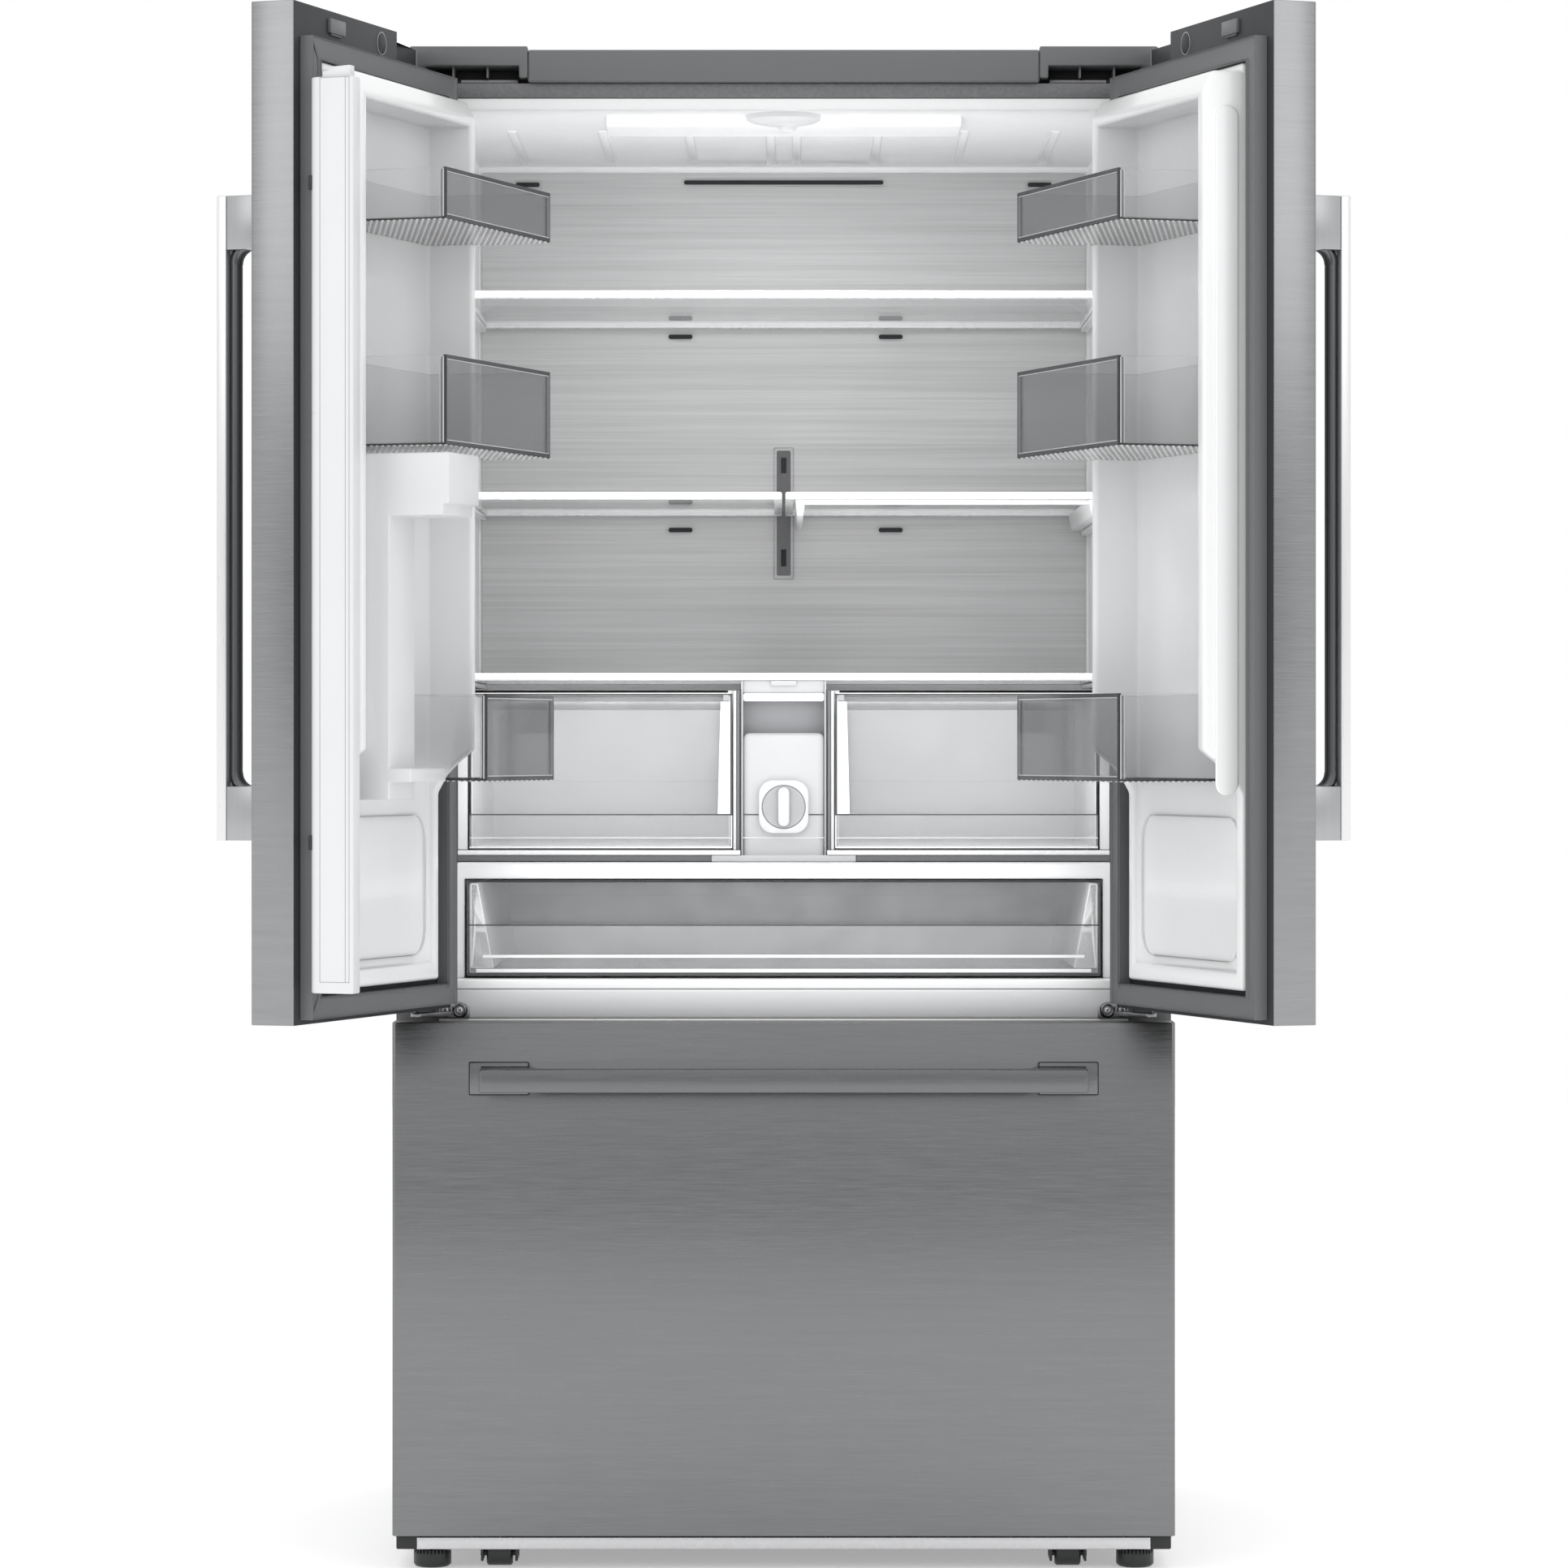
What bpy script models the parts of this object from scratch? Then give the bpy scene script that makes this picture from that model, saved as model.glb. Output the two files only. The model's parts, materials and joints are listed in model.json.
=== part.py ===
"""A french door refrigerator with a bottom freezer drawer, as separate pieces in metres, +Z up.

X runs to the right, Y from the fronts to the back, Z up from the floor. Lengths along Y are counted
from the plane of the closed fronts until the whole assembly is centred over its footprint.
The two doors rest wide open; the freezer drawer and the inner drawers rest closed.
"""

from math import cos, pi, radians, sin

import bmesh
import bpy
from mathutils import Matrix, Vector

# ---- the whole refrigerator -------------------------------------------------------------------
WIDTH = 0.908
CASE_TOP = 1.7356  # upper face of the case
CASE_BACK = 0.830  # rear face of the case, behind the plane of the fronts
SIDE_WALL = 0.061  # case side to the inside of the liner
SHEET = 0.0015  # steel of the case and the fronts
GAP = 0.0003  # between pieces that touch

# ---- fresh food and freezer compartments ------------------------------------------------------
LINER_WALL = 0.002
LINER_LIP = 0.011  # how far the liner's front flange stands out
FRIDGE_FLOOR = 0.685
FRIDGE_FLOOR_THICK = 0.0105
CEILING_DROP = 0.0306  # case top to the compartment's ceiling
FRIDGE_BACK = 0.720
FREEZER_FLOOR = 0.082
FREEZER_CEILING = 0.604
FREEZER_BACK = 0.718
MACHINE_FRONT = 0.600  # space for the compressor, low at the back
MACHINE_TOP = 0.245
CROSSBAR_BOTTOM = 0.6396
CROSSBAR_DEPTH = 0.020

# ---- fronts -----------------------------------------------------------------------------------
FRONT_THICK = 0.0513
FRONT_CORNER = 0.004
DOOR_BOTTOM = 0.6544
DOOR_OVER_CASE = 0.0364  # door top above the case top
DOOR_GAP = 0.006  # between the two doors
DRAWER_BOTTOM = 0.043
DRAWER_TOP = 0.6384
DOOR_OPEN = radians(108.9)  # the angle at rest
PIVOT_IN = 0.028  # hinge pin from the case side
PIVOT_BACK = 0.0204  # hinge pin behind the fronts
NOTCH_LENGTH = 0.162  # hinge recess in the door top
NOTCH_SKIN = 0.008
NOTCH_DEPTH = 0.038
PIN_RADIUS = 0.004
PIN_CLEARANCE = 0.001
PIN_REACH = 0.010

# ---- gaskets and door liners ------------------------------------------------------------------
GASKET_WIDTH = 0.024
GASKET_THICK = 0.015
GASKET_PLAY = 0.0034  # gasket to the flange that it closes on
GASKET_INSET = 0.018  # outer edge from the front's sides
DOOR_GASKET_TOP = 0.037
DOOR_GASKET_BOTTOM = 0.0056
DRAWER_GASKET_RIM = 0.0115
PANEL_SHEET = 0.004  # thickness of a door liner's flat field
LINER_RIM_GAP = 0.006  # gasket to the lower edge of a door liner
DIKE_RISE = 0.058
DIKE_OUTER = 0.066  # hinge-side dike, from the door's side
DIKE_WIDTH = 0.0145
DIKE_FREE_LEFT = (0.3835, 0.400)
DIKE_FREE_RIGHT = (0.3745, 0.392)
DIKE_FOOT = 0.905
DIKE_SHALLOW = 0.012
DIKE_CLEARANCE = 0.0045  # dike to the ceiling

# ---- handles ----------------------------------------------------------------------------------
HANDLE_REACH = 0.059
HANDLE_BAR_DEPTH = 0.020
HANDLE_WIDTH = 0.027
DOOR_HANDLE_FROM_EDGE = 0.040
DOOR_HANDLE_BOTTOM = 0.855
DOOR_HANDLE_TOP = 1.5655
HANDLE_POST = 0.060
HANDLE_FILLET = 0.018
HANDLE_CORNER = 0.003
DRAWER_HANDLE_HALF = 0.350
DRAWER_HANDLE_BOTTOM = 0.5604
DRAWER_PLATE_WIDTH = 0.0696
DRAWER_PLATE_HEIGHT = 0.0385
DRAWER_PLATE_THICK = 0.006

# ---- door bins --------------------------------------------------------------------------------
BIN_WALL = 0.0025
BIN_FRONT = 0.150  # from the door's inner face
BIN_REAR = 0.0055
BIN_SIDE = 0.070
BIN_CLEARANCE = 0.001
BIN_SPANS = {"top": (1.536, 1.592), "middle": (1.289, 1.387), "bottom": (0.921, 1.017)}
BIN_END_LEFT = 0.381
BIN_END_RIGHT = 0.372
SHORT_BIN_END = 0.274
SHORT_BIN_REAR = 0.036
SHORT_BIN_FRONT = 0.1545

# ---- ice maker and flap, on the left door -----------------------------------------------------
ICE_TRAY = (1.2242, 1.2805)
ICE_TRAY_START = 0.295
ICE_TRAY_REACH = 0.1545
ICE_STEP_DROP = 0.0125
ICE_STEP_REACH = 0.147
ICE_COLUMN_START = 0.310
ICE_COLUMN_REACH = 0.084
ICE_FOOT = 0.900
ICE_LEDGE = (0.9195, 0.9345)
ICE_LEDGE_START = 0.283
ICE_LEDGE_REACH = 0.110
FLAP_THICK = 0.020
FLAP_LENGTH = 0.0525
FLAP_PIVOT_U = 0.436
FLAP_PIVOT_W = 0.0258
FLAP_END_GAP = 0.005

# ---- inside the fresh food compartment --------------------------------------------------------
SHELF_FRONT = 0.215
SHELF_THICK = 0.009
SHELF_REAR_GAP = 0.007
SHELF_SIDE_GAP = 0.002
TOP_SHELF_DROP = 0.200  # ceiling to the top shelf
MIDDLE_SHELF = 1.2635
COVER_SHELF = 1.0465
RAIL_DROP = 0.0195
PLATE_THICK = 0.0032
PLATE_TOP_GAP = 0.008
TRACK_WIDTH = 0.025
TRACK_SPAN = (1.174, 1.343)
CRISPER_BOTTOM = 0.835
CRISPER_HEIGHT = 0.190
CRISPER_SIDE_GAP = 0.0155
CRISPER_REAR = 0.690
TRAY_WALL = 0.003
HOUSING_HALF = 0.051
HOUSING_GAP = 0.010
KNOB_HEIGHT = 0.886
KNOB_RADIUS = 0.0255
BEZEL_SIZE = (0.060, 0.064)
BEZEL_PROUD = 0.010
PANTRY_FRONT = 0.110
PANTRY_SIDE_GAP = 0.019
PANTRY_SPAN = (0.688, 0.801)
PANTRY_FRAME_TOP = 0.820
PANTRY_GAP = 0.0025
SKID_WIDTH = 0.010
SKID_SETBACK = 0.060

# ---- inside the freezer -----------------------------------------------------------------------
BASKET_SIDE_GAP = 0.025
LOWER_BASKET = (0.100, 0.330)
UPPER_BASKET = (0.400, 0.560)
BASKET_FRONT = 0.078
BASKET_REAR = 0.560
FRAME_SPAN = (0.345, 0.375)
FRAME_SIDE_GAP = 0.0065
FRAME_THICK = 0.010
DRAWER_LINER_RISE = 0.012

# ---- top and bottom of the case ---------------------------------------------------------------
TRIM_IN = 0.1545  # end of the trim from the case side
TRIM_PROUD = 0.010
TRIM_DEPTH = 0.095
TRIM_RISE = 0.0384
COVER_IN = 0.015
COVER_RISE = 0.0424
COVER_DEPTH = 0.115
COVER_HOOD = 0.0225  # height of the hood's front
COVER_POST = 0.010
COVER_MOUTH = 0.055
HINGE_PLATE = 0.005
HINGE_LIFT = 0.0004
HINGE_ARM = 0.016
BRACKET_FROM_PIN = (0.058, 0.018)
BASE_BOTTOM = 0.0345
BASE_THICK = 0.006
BASE_FRONT = 0.045
FOOT_HEIGHT = 0.022
FOOT_RADIUS = 0.022
FOOT_IN = 0.043  # centre from the case side
FOOT_Y = 0.062
ROLLER_IN = 0.122
ROLLER_WIDTH = 0.030
ROLLER_RADIUS = 0.015
ROLLER_LIFT = 0.0005
REAR_AXLE_Y = 0.760
REAR_LUG_IN = 0.082
CHEEK = 0.003
TOE_IN = 0.026
TOE_SPAN = (0.022, 0.031)
COMPRESSOR_RADIUS = 0.078
COMPRESSOR_HEIGHT = 0.165

# ---- values that follow from the sizes above --------------------------------------------------
HALF = WIDTH / 2
INNER_HALF = HALF - SIDE_WALL
LINER_HALF = INNER_HALF + LINER_WALL
LIP_HALF = INNER_HALF + LINER_LIP
CEILING = CASE_TOP - CEILING_DROP
FRIDGE_BOTTOM = FRIDGE_FLOOR - FRIDGE_FLOOR_THICK
DOOR_WIDTH = HALF - DOOR_GAP / 2
DOOR_TOP = CASE_TOP + DOOR_OVER_CASE
PIVOT_X = HALF - PIVOT_IN
NOTCH_FLOOR = DOOR_TOP - NOTCH_DEPTH
TOP_SHELF = CEILING - TOP_SHELF_DROP
CRISPER_OUTER = INNER_HALF - CRISPER_SIDE_GAP
CRISPER_INNER = HOUSING_HALF + HOUSING_GAP
BASE_TOP = BASE_BOTTOM + BASE_THICK
CASE_FRONT = FRONT_THICK + GAP + GASKET_THICK + GASKET_PLAY
TRIM_FRONT = CASE_FRONT - TRIM_PROUD
TRIM_HALF = HALF - TRIM_IN
COVER_SPAN = (TRIM_HALF + GAP, HALF - COVER_IN)
BRACKET_SPAN = (PIVOT_X - BRACKET_FROM_PIN[0], PIVOT_X - BRACKET_FROM_PIN[1])
PANTRY_HALF = INNER_HALF - PANTRY_SIDE_GAP
BASKET_HALF = INNER_HALF - BASKET_SIDE_GAP
FRAME_HALF = INNER_HALF - FRAME_SIDE_GAP
FOOT_X = HALF - FOOT_IN
ROLLER_X = HALF - ROLLER_IN
REAR_LUG_X = HALF - REAR_LUG_IN
TOE_HALF = HALF - TOE_IN
ALL_THROUGH = 0.05  # how far a cutter runs past a face

STEEL = ((0.36, 0.36, 0.36), 0.34, 1.0)
DARK_METAL = ((0.085, 0.088, 0.092), 0.45, 0.6)
DARK_PLASTIC = ((0.10, 0.10, 0.105), 0.55, 0.0)
WHITE_PLASTIC = ((0.83, 0.84, 0.85), 0.35, 0.0)
CLEAR_PLASTIC = ((0.62, 0.66, 0.68), 0.12, 0.0)
GLASS = ((0.72, 0.80, 0.79), 0.05, 0.0)
GASKET_GREY = ((0.20, 0.20, 0.205), 0.7, 0.0)
BACK_METAL = ((0.55, 0.56, 0.58), 0.3, 1.0)
ZINC = ((0.60, 0.60, 0.60), 0.35, 1.0)
FOAM = ((0.75, 0.68, 0.45), 0.9, 0.0)
BLACK = ((0.02, 0.02, 0.02), 0.6, 0.0)


# ---- making shapes ----------------------------------------------------------------------------
def clear_scene():
    for obj in list(bpy.data.objects):
        bpy.data.objects.remove(obj, do_unlink=True)


def material_for(name, finish):
    colour, roughness, metallic = finish
    material = bpy.data.materials.new(f"{name}_finish")
    material.use_nodes = True
    shader = material.node_tree.nodes["Principled BSDF"]
    shader.inputs["Base Color"].default_value = (*colour, 1.0)
    shader.inputs["Roughness"].default_value = roughness
    shader.inputs["Metallic"].default_value = metallic
    return material


def empty_at(name, place=(0, 0, 0), parent=None):
    """An empty on a joint's axis. `home` keeps where it stands with everything closed."""
    empty = bpy.data.objects.new(name, None)
    bpy.context.scene.collection.objects.link(empty)
    empty["home"] = place
    start = Vector(parent["home"]) if parent else Vector()
    empty.location = Vector(place) - start
    empty.parent = parent
    return empty


def object_from(name, bm, holder, finish=None):
    """Turns a bmesh, drawn where it stands when everything is closed, into an object on its holder."""
    bmesh.ops.recalc_face_normals(bm, faces=bm.faces)
    mesh = bpy.data.meshes.new(name)
    bm.to_mesh(mesh)
    bm.free()
    obj = bpy.data.objects.new(name, mesh)
    bpy.context.scene.collection.objects.link(obj)
    obj.parent = holder
    obj.location = -Vector(holder["home"])
    if finish:
        mesh.materials.append(material_for(name, finish))
    return obj


def box_into(bm, low, high, edge=0.0):
    """Adds a box between two corners given in any order, with its edges chamfered by `edge`."""
    low, high = Vector(low), Vector(high)
    size = [abs(b - a) for a, b in zip(low, high)]
    place = Matrix.Translation((low + high) / 2) @ Matrix.Diagonal((*size, 1))
    made = bmesh.ops.create_cube(bm, size=1, matrix=place)
    if edge:
        edges = {e for v in made["verts"] for e in v.link_edges}
        bmesh.ops.bevel(bm, geom=list(edges), offset=edge, segments=1, profile=0.5,
                        affect="EDGES", material=-1)


def prism_into(bm, outline, axis, low, high):
    """Extrudes an outline. Its points are (y, z) along X, (x, z) along Y and (x, y) along Z."""
    low, high = sorted((low, high))
    seat = {"X": lambda a, b: (low, a, b), "Y": lambda a, b: (a, low, b), "Z": lambda a, b: (a, b, low)}
    step = {"X": (high - low, 0, 0), "Y": (0, high - low, 0), "Z": (0, 0, high - low)}
    face = bm.faces.new([bm.verts.new(seat[axis](*point)) for point in outline])
    grown = bmesh.ops.extrude_face_region(bm, geom=[face])
    moved = [v for v in grown["geom"] if isinstance(v, bmesh.types.BMVert)]
    bmesh.ops.translate(bm, verts=moved, vec=step[axis])


def turned_into(bm, profile, place, axis="Z", steps=16):
    """Turns a profile of (radius, height) about an axis through `place`."""
    turn = {"Z": Matrix(), "X": Matrix.Rotation(pi / 2, 4, "Y"), "Y": Matrix.Rotation(-pi / 2, 4, "X")}
    verts = [bm.verts.new((radius, 0, height)) for radius, height in profile]
    edges = [bm.edges.new(pair) for pair in zip(verts, verts[1:])]
    made = bmesh.ops.spin(bm, geom=verts + edges, axis=(0, 0, 1), cent=(0, 0, 0), angle=2 * pi,
                          steps=steps, use_merge=True)
    fresh = {v for v in made["geom_last"] if isinstance(v, bmesh.types.BMVert)} | set(verts)
    reached = set(fresh)
    while fresh:
        fresh = {e.other_vert(v) for v in fresh for e in v.link_edges} - reached
        reached |= fresh
    bmesh.ops.remove_doubles(bm, verts=list(reached), dist=1e-6)
    kept = [v for v in reached if v.is_valid]
    bmesh.ops.transform(bm, matrix=Matrix.Translation(place) @ turn[axis], verts=kept)


def pin_into(bm, radius, low, high, x, y, steps=12):
    """A plain round pin or bore along Z."""
    turned_into(bm, [(0, low), (radius, low), (radius, high), (0, high)], (x, y, 0), steps=steps)


def box(name, low, high, finish, holder, edge=0.0):
    bm = bmesh.new()
    box_into(bm, low, high, edge)
    return object_from(name, bm, holder, finish)


def prism(name, outline, axis, low, high, finish, holder):
    bm = bmesh.new()
    prism_into(bm, outline, axis, low, high)
    return object_from(name, bm, holder, finish)


def helper(target, draw, operation):
    """Adds a Boolean to `target`, whose hidden second shape `draw` makes."""
    bm = bmesh.new()
    draw(bm)
    count = len(target.modifiers)
    tool = object_from(f"{target.name}_{operation.lower()}_{count}", bm, target.parent)
    tool.hide_render = True
    tool.display_type = "WIRE"
    modifier = target.modifiers.new(operation.title(), "BOOLEAN")
    modifier.operation = operation
    modifier.solver = "EXACT"
    modifier.object = tool
    return target


def cut(target, low, high):
    return helper(target, lambda bm: box_into(bm, low, high), "DIFFERENCE")


def join(target, low, high, edge=0.0):
    return helper(target, lambda bm: box_into(bm, low, high, edge), "UNION")


def tray(name, low, high, wall, finish, holder, edge=0.0):
    """An open-topped box: the upper face is inset and pushed down to leave a floor."""
    bm = bmesh.new()
    box_into(bm, low, high)
    if edge:
        upright = [e for e in bm.edges if abs(e.verts[0].co.z - e.verts[1].co.z) > wall]
        bmesh.ops.bevel(bm, geom=upright, offset=edge, segments=2, profile=0.5,
                        affect="EDGES", material=-1)
    top = max(bm.faces, key=lambda f: f.calc_center_median().z)
    bmesh.ops.inset_individual(bm, faces=[top], thickness=wall)
    sunk = bmesh.ops.extrude_discrete_faces(bm, faces=[top])["faces"][0]
    depth = abs(high[2] - low[2]) - wall
    bmesh.ops.translate(bm, verts=sunk.verts, vec=(0, 0, -depth))
    return object_from(name, bm, holder, finish)


def arc(centre, radius, start, end, steps=4):
    """Points of an arc, angles in degrees."""
    angles = [radians(start + (end - start) * i / steps) for i in range(steps + 1)]
    return [(centre[0] + radius * cos(a), centre[1] + radius * sin(a)) for a in angles]


def smooth(obj, angle=40):
    obj.data.shade_smooth()
    obj.data.set_sharp_from_angle(angle=radians(angle))
    return obj


# ---- the case ---------------------------------------------------------------------------------
def side_panel(side, case):
    """A side sheet with its front return, which carries the gasket's land."""
    name = "side_panel_left" if side < 0 else "side_panel_right"
    inner = HALF - SHEET
    plan = [(HALF, CASE_FRONT), (HALF, CASE_BACK), (inner, CASE_BACK), (inner, CASE_FRONT + SHEET),
            (LIP_HALF + GAP, CASE_FRONT + SHEET), (LIP_HALF + GAP, CASE_FRONT)]
    outline = [(side * x, y) for x, y in plan]
    return prism(name, outline, "Z", BASE_BOTTOM, CASE_TOP - SHEET - GAP, DARK_METAL, case)


def top_panel(case):
    """The top sheet, with a narrow return down its front between the sides."""
    lip_top = CEILING + LINER_LIP + LINER_WALL + GAP
    panel = box("top_panel", (-HALF, CASE_FRONT + SHEET, CASE_TOP - SHEET), (HALF, CASE_BACK, CASE_TOP),
                DARK_METAL, case)
    low = (-LIP_HALF, CASE_FRONT, lip_top)
    high = (LIP_HALF, CASE_FRONT + SHEET, CASE_TOP - SHEET / 2)
    helper(panel, lambda bm: box_into(bm, low, high), "UNION")
    return join(panel, (-LIP_HALF, CASE_FRONT, CASE_TOP - SHEET),
                (LIP_HALF, CASE_FRONT + 3 * SHEET, CASE_TOP))


def back_panel(case):
    half = HALF - SHEET - GAP
    return box("back_panel", (-half, CASE_BACK - SHEET, MACHINE_TOP), (half, CASE_BACK,
               CASE_TOP - SHEET - GAP), DARK_METAL, case)


def base_plate(case):
    """The floor of the case, with cheeks for the front rollers and lugs for the rear axle."""
    half = HALF - SHEET - GAP
    plate = box("base_plate", (-half, CASE_FRONT + SHEET + GAP, BASE_BOTTOM),
                (half, CASE_BACK - SHEET - GAP, BASE_TOP), DARK_METAL, case)
    nose = HALF - SHEET
    join(plate, (-nose, BASE_FRONT, BASE_BOTTOM), (nose, CASE_FRONT - GAP, BASE_TOP))
    join(plate, (-LIP_HALF, BASE_FRONT + 0.01, BASE_BOTTOM), (LIP_HALF, CASE_FRONT + 0.02, BASE_TOP))
    cheek_bottom = ROLLER_RADIUS * 0.5
    inside = ROLLER_WIDTH / 2 + 0.0035
    for side in (-1, 1):
        for edge in (-1, 1):
            face = side * ROLLER_X + edge * inside
            join(plate, (face, BASE_FRONT, cheek_bottom),
                 (face + edge * CHEEK, CASE_FRONT + 0.01, BASE_BOTTOM + BASE_THICK / 2))
        slot = PIN_RADIUS + PIN_CLEARANCE
        reach = inside + 2 * CHEEK
        cut(plate, (side * ROLLER_X - reach, FOOT_Y - slot, 0),
            (side * ROLLER_X + reach, FOOT_Y + slot, ROLLER_RADIUS + ROLLER_LIFT + slot))
        lug = side * REAR_LUG_X
        join(plate, (lug - CHEEK, REAR_AXLE_Y - 0.015, cheek_bottom),
             (lug + CHEEK, REAR_AXLE_Y + 0.015, BASE_BOTTOM + BASE_THICK / 2))
        cut(plate, (lug - 2 * CHEEK, REAR_AXLE_Y - slot, 0),
            (lug + 2 * CHEEK, REAR_AXLE_Y + slot, ROLLER_RADIUS + slot))
    return plate


def fridge_liner(case):
    """The white inner box of the fresh food compartment, open at the front, with a flange."""
    top = CEILING + LINER_WALL
    liner = box("fridge_liner", (-LINER_HALF, CASE_FRONT, FRIDGE_BOTTOM),
                (LINER_HALF, FRIDGE_BACK + LINER_WALL, top), WHITE_PLASTIC, case)
    join(liner, (-LIP_HALF, CASE_FRONT, FRIDGE_BOTTOM),
         (LIP_HALF, CASE_FRONT + LINER_WALL, top + LINER_LIP))
    return cut(liner, (-INNER_HALF, CASE_FRONT - ALL_THROUGH, FRIDGE_FLOOR),
               (INNER_HALF, FRIDGE_BACK, CEILING))


def freezer_outline(grow, front):
    """Side outline of the freezer space, stepped over the machine space, grown by `grow`."""
    back = FREEZER_BACK + grow
    step = MACHINE_FRONT - LINER_WALL - 0.010 + grow
    rise = MACHINE_TOP + 0.012 - grow
    floor, ceiling = FREEZER_FLOOR - grow, FREEZER_CEILING + grow
    return [(front, floor), (step, floor), (step, rise), (back, rise), (back, ceiling), (front, ceiling)]


def freezer_liner(case):
    liner = prism("freezer_liner", freezer_outline(LINER_WALL, CASE_FRONT), "X", -LINER_HALF, LINER_HALF,
                  WHITE_PLASTIC, case)
    join(liner, (-LIP_HALF, CASE_FRONT, FREEZER_FLOOR - 0.020),
         (LIP_HALF, CASE_FRONT + LINER_WALL, CROSSBAR_BOTTOM - GAP))
    hollow = freezer_outline(0, CASE_FRONT - ALL_THROUGH)
    return helper(liner, lambda bm: prism_into(bm, hollow, "X", -INNER_HALF, INNER_HALF), "DIFFERENCE")


def insulation(case):
    """The foam between case and liners, with the machine space left free."""
    half = HALF - SHEET - GAP
    front = CASE_FRONT + LINER_WALL + GAP
    foam = box("insulation", (-half, front, BASE_TOP + 0.020),
               (half, CASE_BACK - SHEET - GAP, CASE_TOP - SHEET - GAP), FOAM, case)
    cut(foam, (-LINER_HALF - GAP, 0, FRIDGE_BOTTOM - GAP),
        (LINER_HALF + GAP, FRIDGE_BACK + LINER_WALL + GAP, CEILING + LINER_WALL + GAP))
    room = freezer_outline(LINER_WALL + GAP, 0)
    helper(foam, lambda bm: prism_into(bm, room, "X", -LINER_HALF - GAP, LINER_HALF + GAP), "DIFFERENCE")
    cut(foam, (-LIP_HALF - GAP, 0, CROSSBAR_BOTTOM - GAP),
        (LIP_HALF + GAP, CASE_FRONT + CROSSBAR_DEPTH + GAP, FRIDGE_BOTTOM - GAP / 2))
    return cut(foam, (-HALF, MACHINE_FRONT, 0), (HALF, CASE_BACK + ALL_THROUGH, MACHINE_TOP))


def crossbar(case):
    """The bar between the two compartments, which the doors and the drawer close on."""
    return box("crossbar", (-LIP_HALF, CASE_FRONT, CROSSBAR_BOTTOM),
               (LIP_HALF, CASE_FRONT + CROSSBAR_DEPTH, FRIDGE_BOTTOM - GAP), WHITE_PLASTIC, case)


def top_trim(case):
    return box("top_trim", (-TRIM_HALF, TRIM_FRONT, CASE_TOP + GAP),
               (TRIM_HALF, TRIM_FRONT + TRIM_DEPTH, CASE_TOP + TRIM_RISE), DARK_PLASTIC, case, 0.002)


def hinge_cover(side, case):
    """A moulded hood over the upper hinge, with an open mouth for the arm under its front."""
    name = "hinge_cover_left" if side < 0 else "hinge_cover_right"
    bottom = CASE_TOP + HINGE_LIFT + HINGE_PLATE + GAP
    top = CASE_TOP + COVER_RISE
    near, far = COVER_SPAN
    shoulder = 0.004
    plan = [(near, bottom), (far, bottom), (far, top - shoulder)]
    plan += arc((far - shoulder, top - shoulder), shoulder, 0, 90)
    plan += [(near, top)]
    outline = [(side * x, z) for x, z in plan]
    cover = prism(name, outline, "Y", TRIM_FRONT, TRIM_FRONT + COVER_DEPTH, DARK_PLASTIC, case)
    cut(cover, (side * (near + COVER_POST), TRIM_FRONT - ALL_THROUGH, bottom - ALL_THROUGH),
        (side * (far + ALL_THROUGH), TRIM_FRONT + COVER_MOUTH, top - COVER_HOOD))
    return smooth(cover)


def hinge_plan(side, pivot, root_x, root_y, width):
    """Plan of a hinge arm: a round end about the pin, and straight edges back to its root."""
    reach = Vector((root_x - pivot[0], root_y - pivot[1])).normalized()
    across = Vector((-reach.y, reach.x)) * width / 2
    start = Vector(pivot)
    end = Vector((root_x, root_y))
    steps = 6
    nose = [start + (across * cos(pi * i / steps)) - (reach * width / 2 * sin(pi * i / steps))
            for i in range(steps + 1)]
    points = nose + [end - across, end + across]
    return [(side * p.x, p.y) for p in points]


def top_hinge(side, case):
    """The upper hinge: a plate on the case, an arm out to the pin, and the pin going down."""
    name = "top_hinge_left" if side < 0 else "top_hinge_right"
    bottom = CASE_TOP + HINGE_LIFT
    top = bottom + HINGE_PLATE
    pivot = (PIVOT_X, PIVOT_BACK)
    plan = hinge_plan(side, pivot, PIVOT_X - 0.045, PIVOT_BACK + 0.070, HINGE_ARM)
    hinge = prism(name, plan, "Z", bottom, top, ZINC, case)
    join(hinge, (side * (COVER_SPAN[0] + 0.012), TRIM_FRONT + 0.020, bottom),
         (side * (PIVOT_X - 0.012), TRIM_FRONT + 0.100, top))
    low = NOTCH_FLOOR - PIN_REACH
    return helper(hinge, lambda bm: pin_into(bm, PIN_RADIUS, low, bottom + HINGE_PLATE / 2,
                                             side * PIVOT_X, PIVOT_BACK), "UNION")


def middle_hinge(side, case):
    """The lower door hinge: a plate on the crossbar, an arm in the gap, and a pin going up."""
    name = "middle_hinge_left" if side < 0 else "middle_hinge_right"
    bottom = DRAWER_TOP + 0.0052
    top = bottom + HINGE_PLATE
    pivot = (PIVOT_X, PIVOT_BACK)
    back = CASE_FRONT - GAP
    plan = hinge_plan(side, pivot, PIVOT_X - 0.034, back - 0.0055, HINGE_ARM)
    hinge = prism(name, plan, "Z", bottom, top, ZINC, case)
    join(hinge, (side * BRACKET_SPAN[0], back - 0.0035, DRAWER_TOP + 0.0016),
         (side * BRACKET_SPAN[1], back, DOOR_BOTTOM - 0.0006))
    high = DOOR_BOTTOM + PIN_REACH
    return helper(hinge, lambda bm: pin_into(bm, PIN_RADIUS, bottom + HINGE_PLATE / 2, high,
                                             side * PIVOT_X, PIVOT_BACK), "UNION")


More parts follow.
